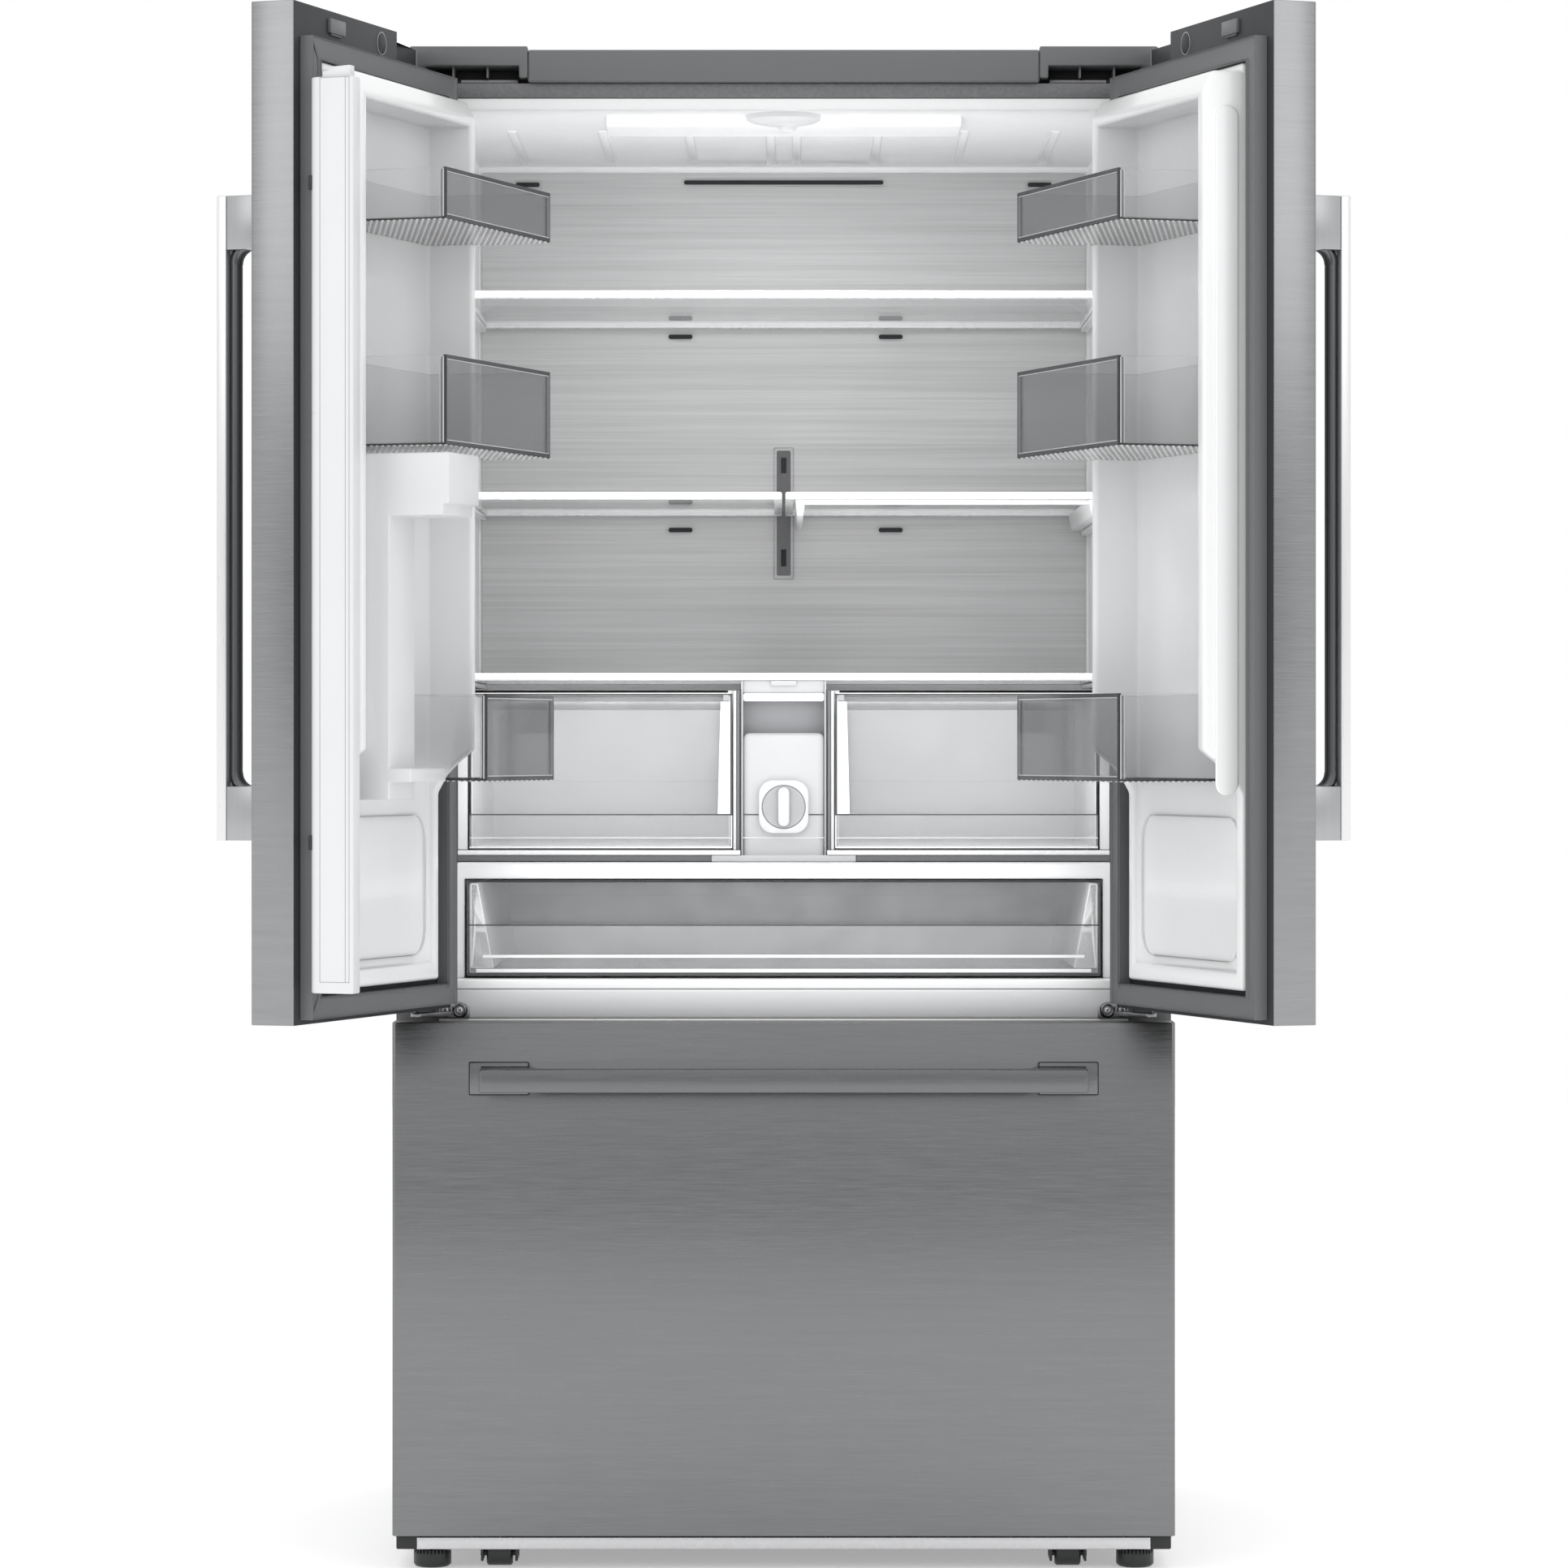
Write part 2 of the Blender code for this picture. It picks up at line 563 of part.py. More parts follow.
def compressor(case):
    """The sealed compressor, a domed can on a foot plate, in the machine space."""
    radius, height = COMPRESSOR_RADIUS, COMPRESSOR_HEIGHT
    dome = radius * 0.45
    profile = [(0, 0.012), (radius - 0.010, 0.012), (radius, 0.024), (radius, height - dome)]
    profile += [(radius * cos(a), height - dome + dome * sin(a)) for a in (pi / 6, pi / 3)]
    profile += [(0, height)]
    place = (0.16, (MACHINE_FRONT + CASE_BACK) / 2, BASE_TOP + GAP)
    bm = bmesh.new()
    turned_into(bm, profile, place)
    can = smooth(object_from("compressor", bm, case, BLACK))
    foot = radius + 0.012
    return join(can, (place[0] - foot, place[1] - foot, place[2]),
                (place[0] + foot, place[1] + foot, place[2] + 0.016))


def toe_rail(case):
    return box("toe_rail", (-TOE_HALF, BASE_FRONT - 0.008, TOE_SPAN[0]),
               (TOE_HALF, BASE_FRONT - GAP, TOE_SPAN[1] + 0.006), ZINC, case, 0.001)


def foot(side, root):
    """A levelling foot: a ribbed pad on a short screw."""
    side_name = "left" if side < 0 else "right"
    holder = empty_at(f"foot_{side_name}_axis", (side * FOOT_X, FOOT_Y, 0), root)
    rim = FOOT_RADIUS
    profile = [(0, 0), (rim - 0.003, 0), (rim, 0.003), (rim, FOOT_HEIGHT - 0.006),
               (rim - 0.006, FOOT_HEIGHT), (0.006, FOOT_HEIGHT), (0.006, BASE_BOTTOM - GAP),
               (0, BASE_BOTTOM - GAP)]
    bm = bmesh.new()
    turned_into(bm, profile, (side * FOOT_X, FOOT_Y, 0), steps=20)
    return smooth(object_from(f"foot_{side_name}", bm, holder, BLACK))


def roller_profile(half_width, axle):
    """A wheel with a thin axle, as radius and place along the axle."""
    radius = ROLLER_RADIUS
    return [(0, -axle), (PIN_RADIUS, -axle), (PIN_RADIUS, -half_width), (radius - 0.002, -half_width),
            (radius, 0.002 - half_width), (radius, half_width - 0.002), (radius - 0.002, half_width),
            (PIN_RADIUS, half_width), (PIN_RADIUS, axle), (0, axle)]


def front_roller(side, root):
    side_name = "left" if side < 0 else "right"
    place = (side * ROLLER_X, FOOT_Y, ROLLER_RADIUS + ROLLER_LIFT)
    holder = empty_at(f"roller_{side_name}_axis", place, root)
    bm = bmesh.new()
    turned_into(bm, roller_profile(ROLLER_WIDTH / 2, ROLLER_WIDTH / 2 + 0.0075), place, "X", 20)
    return smooth(object_from(f"roller_{side_name}", bm, holder, BLACK))


def rear_rollers(root):
    """The two rear wheels on one axle."""
    place = (0, REAR_AXLE_Y, ROLLER_RADIUS)
    holder = empty_at("rear_axle", place, root)
    wheel = ROLLER_WIDTH / 2
    half = REAR_LUG_X + CHEEK + wheel + PIN_CLEARANCE
    radius, axle = ROLLER_RADIUS, PIN_RADIUS
    profile = [(0, -half - wheel), (radius, -half - wheel), (radius, wheel - half), (axle, wheel - half),
               (axle, half - wheel), (radius, half - wheel), (radius, half + wheel), (0, half + wheel)]
    bm = bmesh.new()
    turned_into(bm, profile, place, "X", 20)
    return smooth(object_from("rear_rollers", bm, holder, BLACK))


# ---- fronts: the two doors and the drawer -----------------------------------------------------
def skin_plan(left, right):
    """Plan of a front's steel: a channel with rounded front corners, open at the back."""
    outer, inner = FRONT_CORNER, FRONT_CORNER - SHEET
    c = FRONT_CORNER
    plan = [(left, FRONT_THICK)]
    plan += arc((left + c, c), outer, 180, 270)
    plan += arc((right - c, c), outer, 270, 360)
    plan += [(right, FRONT_THICK), (right - SHEET, FRONT_THICK)]
    plan += arc((right - c, c), inner, 360, 270)
    plan += arc((left + c, c), inner, 270, 180)
    return plan + [(left + SHEET, FRONT_THICK)]


def skin(name, left, right, bottom, top, holder):
    return smooth(prism(name, skin_plan(left, right), "Z", bottom, top, STEEL, holder), 50)


def core(name, left, right, bottom, top, holder):
    """The filled body behind the steel, whose dark rim and end caps show."""
    inset = SHEET + GAP
    clear = FRONT_CORNER * 0.35 + inset
    plan = [(left + inset, FRONT_THICK), (left + inset, clear + 0.001), (left + clear + 0.001, inset),
            (right - clear - 0.001, inset), (right - inset, clear + 0.001), (right - inset, FRONT_THICK)]
    return prism(name, plan, "Z", bottom, top, DARK_PLASTIC, holder)


def gasket(name, left, right, bottom, top, holder):
    """The magnetic gasket: a rectangular ring on the front's inner face."""
    front = FRONT_THICK + GAP
    ring = box(name, (left, front, bottom), (right, front + GASKET_THICK, top), GASKET_GREY, holder)
    w = GASKET_WIDTH
    return cut(ring, (left + w, front - ALL_THROUGH, bottom + w),
               (right - w, front + ALL_THROUGH, top - w))


def door_x(side, u):
    """World X, with the door closed, of a point at `u` from its hinge side."""
    return side * (HALF - u)


def door_liner(name, side, free_dike, holder):
    """The white door liner: a flat field between two upright dikes that carry the bins."""
    base = FRONT_THICK + GAP
    bottom = DOOR_BOTTOM + DOOR_GASKET_BOTTOM + GASKET_WIDTH + LINER_RIM_GAP
    top = DOOR_TOP - DOOR_GASKET_TOP - GASKET_WIDTH - 0.001
    crest = base + DIKE_RISE
    shallow = base + DIKE_SHALLOW
    dike_top = CEILING - DIKE_CLEARANCE
    bend = 0.040
    side_view = [(base, bottom), (shallow, bottom), (shallow, DIKE_FOOT)]
    side_view += [(crest - bend * cos(a), DIKE_FOOT + bend * sin(a)) for a in (pi / 6, pi / 3)]
    side_view += [(crest, DIKE_FOOT + bend + 0.010), (crest, dike_top - 0.020), (crest - 0.012, dike_top),
                  (shallow, dike_top), (shallow, top), (base, top)]
    left, right = door_x(side, DIKE_OUTER), door_x(side, free_dike[1])
    liner = prism(name, side_view, "X", left, right, WHITE_PLASTIC, holder)
    field = base + PANEL_SHEET
    return cut(liner, (door_x(side, DIKE_OUTER + DIKE_WIDTH), field, bottom + 0.020),
               (door_x(side, free_dike[0]), crest + ALL_THROUGH, dike_top - 0.030))


def door_handle(name, side, holder):
    """The door's bar handle: one bar with a post curving into the door at each end."""
    low, high = DOOR_HANDLE_BOTTOM, DOOR_HANDLE_TOP
    out, inner = -HANDLE_REACH, HANDLE_BAR_DEPTH - HANDLE_REACH
    c, f, post, foot_y = HANDLE_CORNER, HANDLE_FILLET, HANDLE_POST, -GAP
    outline = [(foot_y, low)] + arc((out + c, low + c), c, 270, 180)
    outline += arc((out + c, high - c), c, 180, 90) + [(foot_y, high), (foot_y, high - post)]
    outline += arc((inner + f, high - post - f), f, 90, 180)
    outline += arc((inner + f, low + post + f), f, 180, 270) + [(foot_y, low + post)]
    edge = DOOR_WIDTH - DOOR_HANDLE_FROM_EDGE
    left, right = door_x(side, edge - HANDLE_WIDTH), door_x(side, edge)
    return smooth(prism(name, outline, "X", left, right, STEEL, holder))


def door_bin(name, side, span, end, depth, free_dike, holder):
    """A door bin: narrow between the dikes, wide in front of them, and open at the top."""
    base = FRONT_THICK + GAP
    step = base + DIKE_RISE + BIN_CLEARANCE
    neck = DIKE_OUTER + DIKE_WIDTH + BIN_CLEARANCE
    neck_end = min(end, free_dike[0] - BIN_CLEARANCE)
    front, back, low, high = base + depth[1], base + depth[0], span[0], span[1]

    def plan(wall):
        points = [(neck + wall, back + wall), (neck_end - wall, back + wall), (neck_end - wall, step + wall),
                  (end - wall, step + wall), (end - wall, front - wall), (BIN_SIDE + wall, front - wall),
                  (BIN_SIDE + wall, step + wall), (neck + wall, step + wall)]
        if neck_end == end:
            points = points[:2] + points[4:]
        return [(door_x(side, u), y) for u, y in points]

    made = prism(name, plan(0), "Z", low, high, CLEAR_PLASTIC, holder)
    return helper(made, lambda bm: prism_into(bm, plan(BIN_WALL), "Z", low + BIN_WALL,
                                              high + ALL_THROUGH), "DIFFERENCE")


def ice_maker(side, free_dike, holder):
    """The ice and water unit on the left door: a tray over a column that ends in a ledge."""
    base = FRONT_THICK + GAP + PANEL_SHEET + GAP
    field = FRONT_THICK + GAP
    end = door_x(side, free_dike[0] - GAP)
    unit = box("ice_maker", (door_x(side, ICE_TRAY_START), base, ICE_TRAY[0]),
               (end, field + ICE_TRAY_REACH, ICE_TRAY[1]), WHITE_PLASTIC, holder)
    join(unit, (door_x(side, ICE_TRAY_START), base, ICE_TRAY[0] - ICE_STEP_DROP),
         (end, field + ICE_STEP_REACH, ICE_TRAY[0] + 0.010))
    join(unit, (door_x(side, ICE_COLUMN_START), base, ICE_FOOT),
         (end, field + ICE_COLUMN_REACH, ICE_TRAY[0] + 0.020))
    return join(unit, (door_x(side, ICE_LEDGE_START), base, ICE_LEDGE[0]),
                (end, field + ICE_LEDGE_REACH, ICE_LEDGE[1]))


def flap(side, door):
    """The hinged strip that closes the gap between the doors; it lies folded at rest."""
    axis_x, axis_y = door_x(side, FLAP_PIVOT_U), FRONT_THICK + FLAP_PIVOT_W
    holder = empty_at("flap_axis", (axis_x, axis_y, 0), door)
    half = FLAP_THICK / 2
    far = axis_y + FLAP_LENGTH - half
    outline = arc((axis_x, axis_y), half, 180, 360, 8) + [(axis_x + half, far), (axis_x - half, far)]
    return smooth(prism("mullion_flap", outline, "Z", FRIDGE_FLOOR + FLAP_END_GAP, CEILING - FLAP_END_GAP,
                        DARK_PLASTIC, holder))


def door(side, root):
    """Everything that swings with one door, drawn closed and then turned open."""
    name = "door_left" if side < 0 else "door_right"
    holder = empty_at(f"{name}_axis", (side * PIVOT_X, PIVOT_BACK, 0), root)
    left, right = sorted((side * HALF, door_x(side, DOOR_WIDTH)))
    free_dike = DIKE_FREE_LEFT if side < 0 else DIKE_FREE_RIGHT
    notch_low = (door_x(side, -ALL_THROUGH), NOTCH_SKIN, NOTCH_FLOOR)
    notch_high = (door_x(side, NOTCH_LENGTH), FRONT_THICK + ALL_THROUGH, DOOR_TOP + ALL_THROUGH)
    cut(skin(f"{name}_skin", left, right, DOOR_BOTTOM, DOOR_TOP, holder), notch_low, notch_high)
    inner = core(f"{name}_core", left, right, DOOR_BOTTOM, DOOR_TOP, holder)
    cut(inner, notch_low, notch_high)
    bore = PIN_RADIUS + PIN_CLEARANCE
    for low, high in ((DOOR_BOTTOM - ALL_THROUGH, DOOR_BOTTOM + PIN_REACH + PIN_CLEARANCE),
                      (NOTCH_FLOOR - PIN_REACH - PIN_CLEARANCE, NOTCH_FLOOR + ALL_THROUGH)):
        helper(inner, lambda bm, low=low, high=high: pin_into(bm, bore, low, high, side * PIVOT_X,
                                                              PIVOT_BACK), "DIFFERENCE")
    gasket(f"{name}_gasket", left + GASKET_INSET, right - GASKET_INSET,
           DOOR_BOTTOM + DOOR_GASKET_BOTTOM, DOOR_TOP - DOOR_GASKET_TOP, holder)
    door_liner(f"{name}_liner", side, free_dike, holder)
    door_handle(f"{name}_handle", side, holder)
    for place, span in BIN_SPANS.items():
        short = side < 0 and place == "bottom"
        end = SHORT_BIN_END if short else (BIN_END_LEFT if side < 0 else BIN_END_RIGHT)
        depth = (SHORT_BIN_REAR, SHORT_BIN_FRONT) if short else (BIN_REAR, BIN_FRONT)
        door_bin(f"{name}_bin_{place}", side, span, end, depth, free_dike, holder)
    if side < 0:
        ice_maker(side, free_dike, holder)
        flap(side, holder)
    holder.rotation_euler.z = side * DOOR_OPEN


def drawer_handle(holder):
    """The drawer's bar handle on two plates."""
    low, high = DRAWER_HANDLE_BOTTOM, DRAWER_HANDLE_BOTTOM + HANDLE_WIDTH
    out, inner = -HANDLE_REACH, HANDLE_BAR_DEPTH - HANDLE_REACH
    half, c, f, post, foot_y = DRAWER_HANDLE_HALF, HANDLE_CORNER, HANDLE_FILLET, HANDLE_POST, -GAP
    outline = [(-half, foot_y)] + arc((-half + c, out + c), c, 180, 270)
    outline += arc((half - c, out + c), c, 270, 360) + [(half, foot_y), (half - post, foot_y)]
    outline += arc((half - post - f, inner + f), f, 360, 270)
    outline += arc((f + post - half, inner + f), f, 270, 180) + [(post - half, foot_y)]
    handle = smooth(prism("drawer_handle", outline, "Z", low, high, STEEL, holder))
    middle = (low + high) / 2
    for side in (-1, 1):
        centre = side * (half - 0.020)
        reach = DRAWER_PLATE_WIDTH / 2
        join(handle, (centre - reach, foot_y, middle - DRAWER_PLATE_HEIGHT / 2),
             (centre + reach, foot_y - DRAWER_PLATE_THICK, middle + DRAWER_PLATE_HEIGHT / 2))
    return handle


def drawer_frame(holder):
    """The two moving slide members and the bar that ties them behind the front."""
    front = FRONT_THICK + GAP + DRAWER_LINER_RISE + GAP
    low, high = FRAME_SPAN
    frame = box("drawer_frame", (-FRAME_HALF, front, low), (FRAME_HALF, front + 0.004, high), ZINC, holder)
    for side in (-1, 1):
        join(frame, (side * FRAME_HALF, front, low), (side * (FRAME_HALF - FRAME_THICK), BASKET_REAR, high))
    return frame


def freezer_drawer(root):
    """Everything that slides out with the freezer drawer."""
    holder = empty_at("drawer_axis", (0, 0, 0), root)
    skin("drawer_skin", -HALF, HALF, DRAWER_BOTTOM, DRAWER_TOP, holder)
    core("drawer_core", -HALF, HALF, DRAWER_BOTTOM, DRAWER_TOP, holder)
    gasket("drawer_gasket", GASKET_INSET - HALF, HALF - GASKET_INSET,
           DRAWER_BOTTOM + DRAWER_GASKET_RIM, DRAWER_TOP - DRAWER_GASKET_RIM, holder)
    base = FRONT_THICK + GAP
    rim = GASKET_INSET + GASKET_WIDTH + 0.004
    edge = DRAWER_GASKET_RIM + GASKET_WIDTH + 0.004
    box("drawer_liner", (rim - HALF, base, DRAWER_BOTTOM + edge),
        (HALF - rim, base + DRAWER_LINER_RISE, DRAWER_TOP - edge), WHITE_PLASTIC, holder, 0.004)
    drawer_handle(holder)
    drawer_frame(holder)
    tray("lower_basket", (-BASKET_HALF, BASKET_FRONT, LOWER_BASKET[0]),
         (BASKET_HALF, BASKET_REAR, LOWER_BASKET[1]), TRAY_WALL, WHITE_PLASTIC, holder, 0.020)
    upper = empty_at("upper_basket_axis", (0, 0, 0), holder)
    tray("upper_basket", (-BASKET_HALF, BASKET_FRONT, UPPER_BASKET[0]),
         (BASKET_HALF, BASKET_REAR, UPPER_BASKET[1]), TRAY_WALL, WHITE_PLASTIC, upper, 0.020)


# ---- inside the fresh food compartment --------------------------------------------------------
def cooling_plate(case):
    """The metal plate on the back wall, with the upright shelf track in its middle."""
    back = FRIDGE_BACK - GAP
    half = INNER_HALF - PLATE_TOP_GAP / 2
    plate = box("cooling_plate", (-half, back - PLATE_THICK, COVER_SHELF + 0.004),
                (half, back, CEILING - PLATE_TOP_GAP), BACK_METAL, case)
    return join(plate, (-TRACK_WIDTH / 2, FRIDGE_BACK - SHELF_REAR_GAP + GAP, TRACK_SPAN[0]),
                (TRACK_WIDTH / 2, back - PLATE_THICK / 2, TRACK_SPAN[1]))


def shelf(name, left, right, top, case):
    """A glass shelf in its frame: a slab with a shallow raised rim."""
    rear = FRIDGE_BACK - SHELF_REAR_GAP
    rim = 0.012
    made = box(name, (left, SHELF_FRONT, top - SHELF_THICK), (right, rear, top), GLASS, case, 0.0012)
    return cut(made, (left + rim, SHELF_FRONT + rim, top - 0.0015), (right - rim, rear - rim, top + 0.01))


def shelves(case):
    edge = INNER_HALF - SHELF_SIDE_GAP
    shelf("shelf_top", -edge, edge, TOP_SHELF, case)
    shelf("shelf_left", -edge, -SHELF_SIDE_GAP, MIDDLE_SHELF, case)
    sliding = shelf("shelf_right", SHELF_SIDE_GAP, edge, MIDDLE_SHELF, case)
    under = MIDDLE_SHELF - SHELF_THICK
    for near in (0.012, edge - 0.030):
        join(sliding, (near, SHELF_FRONT + 0.004, under - RAIL_DROP),
             (near + 0.014, FRIDGE_BACK - 0.030, under + 0.002))
    shelf("crisper_cover", -edge, edge, COVER_SHELF, case)


def filter_housing(case):
    """The centre housing between the crispers, with the bezel of the filter on its front."""
    top = COVER_SHELF - SHELF_THICK - GAP
    housing = box("filter_housing", (-HOUSING_HALF, SHELF_FRONT, PANTRY_FRAME_TOP + GAP),
                  (HOUSING_HALF, CRISPER_REAR, top), WHITE_PLASTIC, case, 0.002)
    width, height = BEZEL_SIZE
    join(housing, (-width / 2, SHELF_FRONT - BEZEL_PROUD, KNOB_HEIGHT - height / 2),
         (width / 2, SHELF_FRONT + 0.004, KNOB_HEIGHT + height / 2), 0.0015)
    radius = KNOB_RADIUS + PIN_CLEARANCE
    front = SHELF_FRONT - BEZEL_PROUD

    def recess(bm):
        profile = [(0, -ALL_THROUGH), (radius, -ALL_THROUGH), (radius, 0.006), (0, 0.006)]
        turned_into(bm, profile, (0, front, KNOB_HEIGHT), "Y", 24)

    return helper(housing, recess, "DIFFERENCE")


def filter_knob(root):
    """The round filter cap with its grip bar; it turns to let the cartridge out."""
    front = SHELF_FRONT - BEZEL_PROUD
    holder = empty_at("filter_axis", (0, front, KNOB_HEIGHT), root)
    bm = bmesh.new()
    profile = [(0, 0.0025), (KNOB_RADIUS, 0.0025), (KNOB_RADIUS, 0.0057), (0, 0.0057)]
    turned_into(bm, profile, (0, front, KNOB_HEIGHT), "Y", 24)
    knob = smooth(object_from("filter_knob", bm, holder, WHITE_PLASTIC))
    return join(knob, (-0.005, front - 0.004, KNOB_HEIGHT - 0.022),
                (0.005, front + 0.004, KNOB_HEIGHT + 0.022))


def crisper(side, root):
    """A crisper drawer with a grip lip along its front."""
    name = "crisper_left" if side < 0 else "crisper_right"
    holder = empty_at(f"{name}_axis", (0, 0, 0), root)
    left, right = sorted((side * CRISPER_INNER, side * CRISPER_OUTER))
    top = CRISPER_BOTTOM + CRISPER_HEIGHT
    made = tray(name, (left, SHELF_FRONT, CRISPER_BOTTOM), (right, CRISPER_REAR, top), TRAY_WALL,
                CLEAR_PLASTIC, holder, 0.006)
    grip = CRISPER_BOTTOM + 0.040
    return join(made, (left + 0.012, SHELF_FRONT - 0.008, grip - 0.004),
                (right - 0.012, SHELF_FRONT + 0.002, grip))


def pantry_frame(case):
    """The frame of the full-width pantry drawer, whose top carries the crispers on skids."""
    outer = INNER_HALF - SHELF_SIDE_GAP
    inner = PANTRY_HALF + PANTRY_GAP
    rear = FRIDGE_BACK - SHELF_REAR_GAP
    header = PANTRY_SPAN[1] + 0.0015
    frame = box("pantry_frame", (-outer, PANTRY_FRONT, header), (outer, rear, PANTRY_FRAME_TOP),
                WHITE_PLASTIC, case)
    for side in (-1, 1):
        join(frame, (side * inner, PANTRY_FRONT, FRIDGE_FLOOR + GAP), (side * outer, rear, header + 0.004))
        for place in (CRISPER_INNER + 0.012, CRISPER_OUTER - 0.024):
            join(frame, (side * place, SHELF_FRONT + SKID_SETBACK, PANTRY_FRAME_TOP - 0.004),
                 (side * (place + SKID_WIDTH), CRISPER_REAR, CRISPER_BOTTOM - GAP))
    return frame


def pantry_drawer(root):
    holder = empty_at("pantry_axis", (0, 0, 0), root)
    low, high = PANTRY_SPAN
    made = tray("pantry_drawer", (-PANTRY_HALF, PANTRY_FRONT, low), (PANTRY_HALF, CRISPER_REAR, high),
                TRAY_WALL, CLEAR_PLASTIC, holder, 0.006)
    ledge = (low + high) / 2
    return join(made, (-PANTRY_HALF + 0.012, PANTRY_FRONT - 0.006, ledge - 0.004),
                (PANTRY_HALF - 0.012, PANTRY_FRONT + 0.002, ledge))


def centre_over_footprint(root):
    """Moves the assembly so that the origin lies on the floor in the middle of its footprint."""
    bpy.context.view_layer.update()
    graph = bpy.context.evaluated_depsgraph_get()
    reach = []
    for obj in bpy.context.scene.objects:
        if obj.type == "MESH" and not obj.hide_render:
            made = obj.evaluated_get(graph)
            reach += [(made.matrix_world @ v.co).y for v in made.data.vertices]
    root.location.y = -(min(reach) + max(reach)) / 2


def main():
    clear_scene()
    root = empty_at("refrigerator")
    for side in (-1, 1):
        side_panel(side, root)
        hinge_cover(side, root)
        top_hinge(side, root)
        middle_hinge(side, root)
        foot(side, root)
        front_roller(side, root)
        crisper(side, root)
        door(side, root)
    for build in (top_panel, back_panel, base_plate, fridge_liner, freezer_liner, insulation, crossbar,
                  top_trim, compressor, toe_rail, cooling_plate, shelves, filter_housing, pantry_frame,
                  rear_rollers, filter_knob, pantry_drawer, freezer_drawer):
        build(root)
    centre_over_footprint(root)


main()
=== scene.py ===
"""The looks of a french door refrigerator: its finishes, its small details and a plain studio."""

import json
import logging
from collections.abc import Iterable, Sequence
from dataclasses import dataclass
from enum import Enum
from math import cos, pi, radians, sin
from typing import Any

import bmesh
import bpy
from mathutils import Matrix, Vector
from mathutils.bvhtree import BVHTree


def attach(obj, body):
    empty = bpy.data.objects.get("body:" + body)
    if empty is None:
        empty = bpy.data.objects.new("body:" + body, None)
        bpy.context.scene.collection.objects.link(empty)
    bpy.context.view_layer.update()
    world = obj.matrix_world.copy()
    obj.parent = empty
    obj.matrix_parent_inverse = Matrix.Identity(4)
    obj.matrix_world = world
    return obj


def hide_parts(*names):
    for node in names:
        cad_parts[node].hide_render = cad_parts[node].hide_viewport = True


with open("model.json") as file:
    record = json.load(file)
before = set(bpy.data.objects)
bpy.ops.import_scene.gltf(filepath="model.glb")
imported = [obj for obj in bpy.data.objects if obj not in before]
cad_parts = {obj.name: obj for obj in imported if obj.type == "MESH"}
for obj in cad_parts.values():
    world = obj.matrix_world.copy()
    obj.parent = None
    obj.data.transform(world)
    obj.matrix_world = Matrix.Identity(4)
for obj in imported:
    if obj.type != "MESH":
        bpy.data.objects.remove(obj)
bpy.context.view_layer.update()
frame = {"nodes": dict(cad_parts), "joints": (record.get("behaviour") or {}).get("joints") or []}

log = logging.getLogger("refrigerator")

Colour = tuple[float, float, float]
Outline = list[tuple[float, float]]
SKIN = 0.0003  # how far a detail stands clear of the face it dresses


# ---- shader maths -----------------------------------------------------------------------------
class Value:
    """A number on a wire, which takes part in arithmetic."""

    def __init__(self, shader: "Shader", socket: Any) -> None:
        """Keeps the socket and the shader that it belongs to."""
        self.shader, self.socket = shader, socket

    def _math(self, operation: str, first: Any, second: Any) -> "Value":
        """Adds one Math node.

        Args:
            operation: the node's operation.
            first: its first operand.
            second: its second operand.

        Returns:
            The node's result.
        """
        node = self.shader.node("ShaderNodeMath", {"operation": operation}, {0: first, 1: second})
        return Value(self.shader, node.outputs[0])

    def __add__(self, other: Any) -> "Value":
        """self + other."""
        return self._math("ADD", self, other)

    __radd__ = __add__

    def __sub__(self, other: Any) -> "Value":
        """self - other."""
        return self._math("SUBTRACT", self, other)

    def __mul__(self, other: Any) -> "Value":
        """self * other."""
        return self._math("MULTIPLY", self, other)

    __rmul__ = __mul__

    def __pow__(self, other: Any) -> "Value":
        """self ** other."""
        return self._math("POWER", self, other)


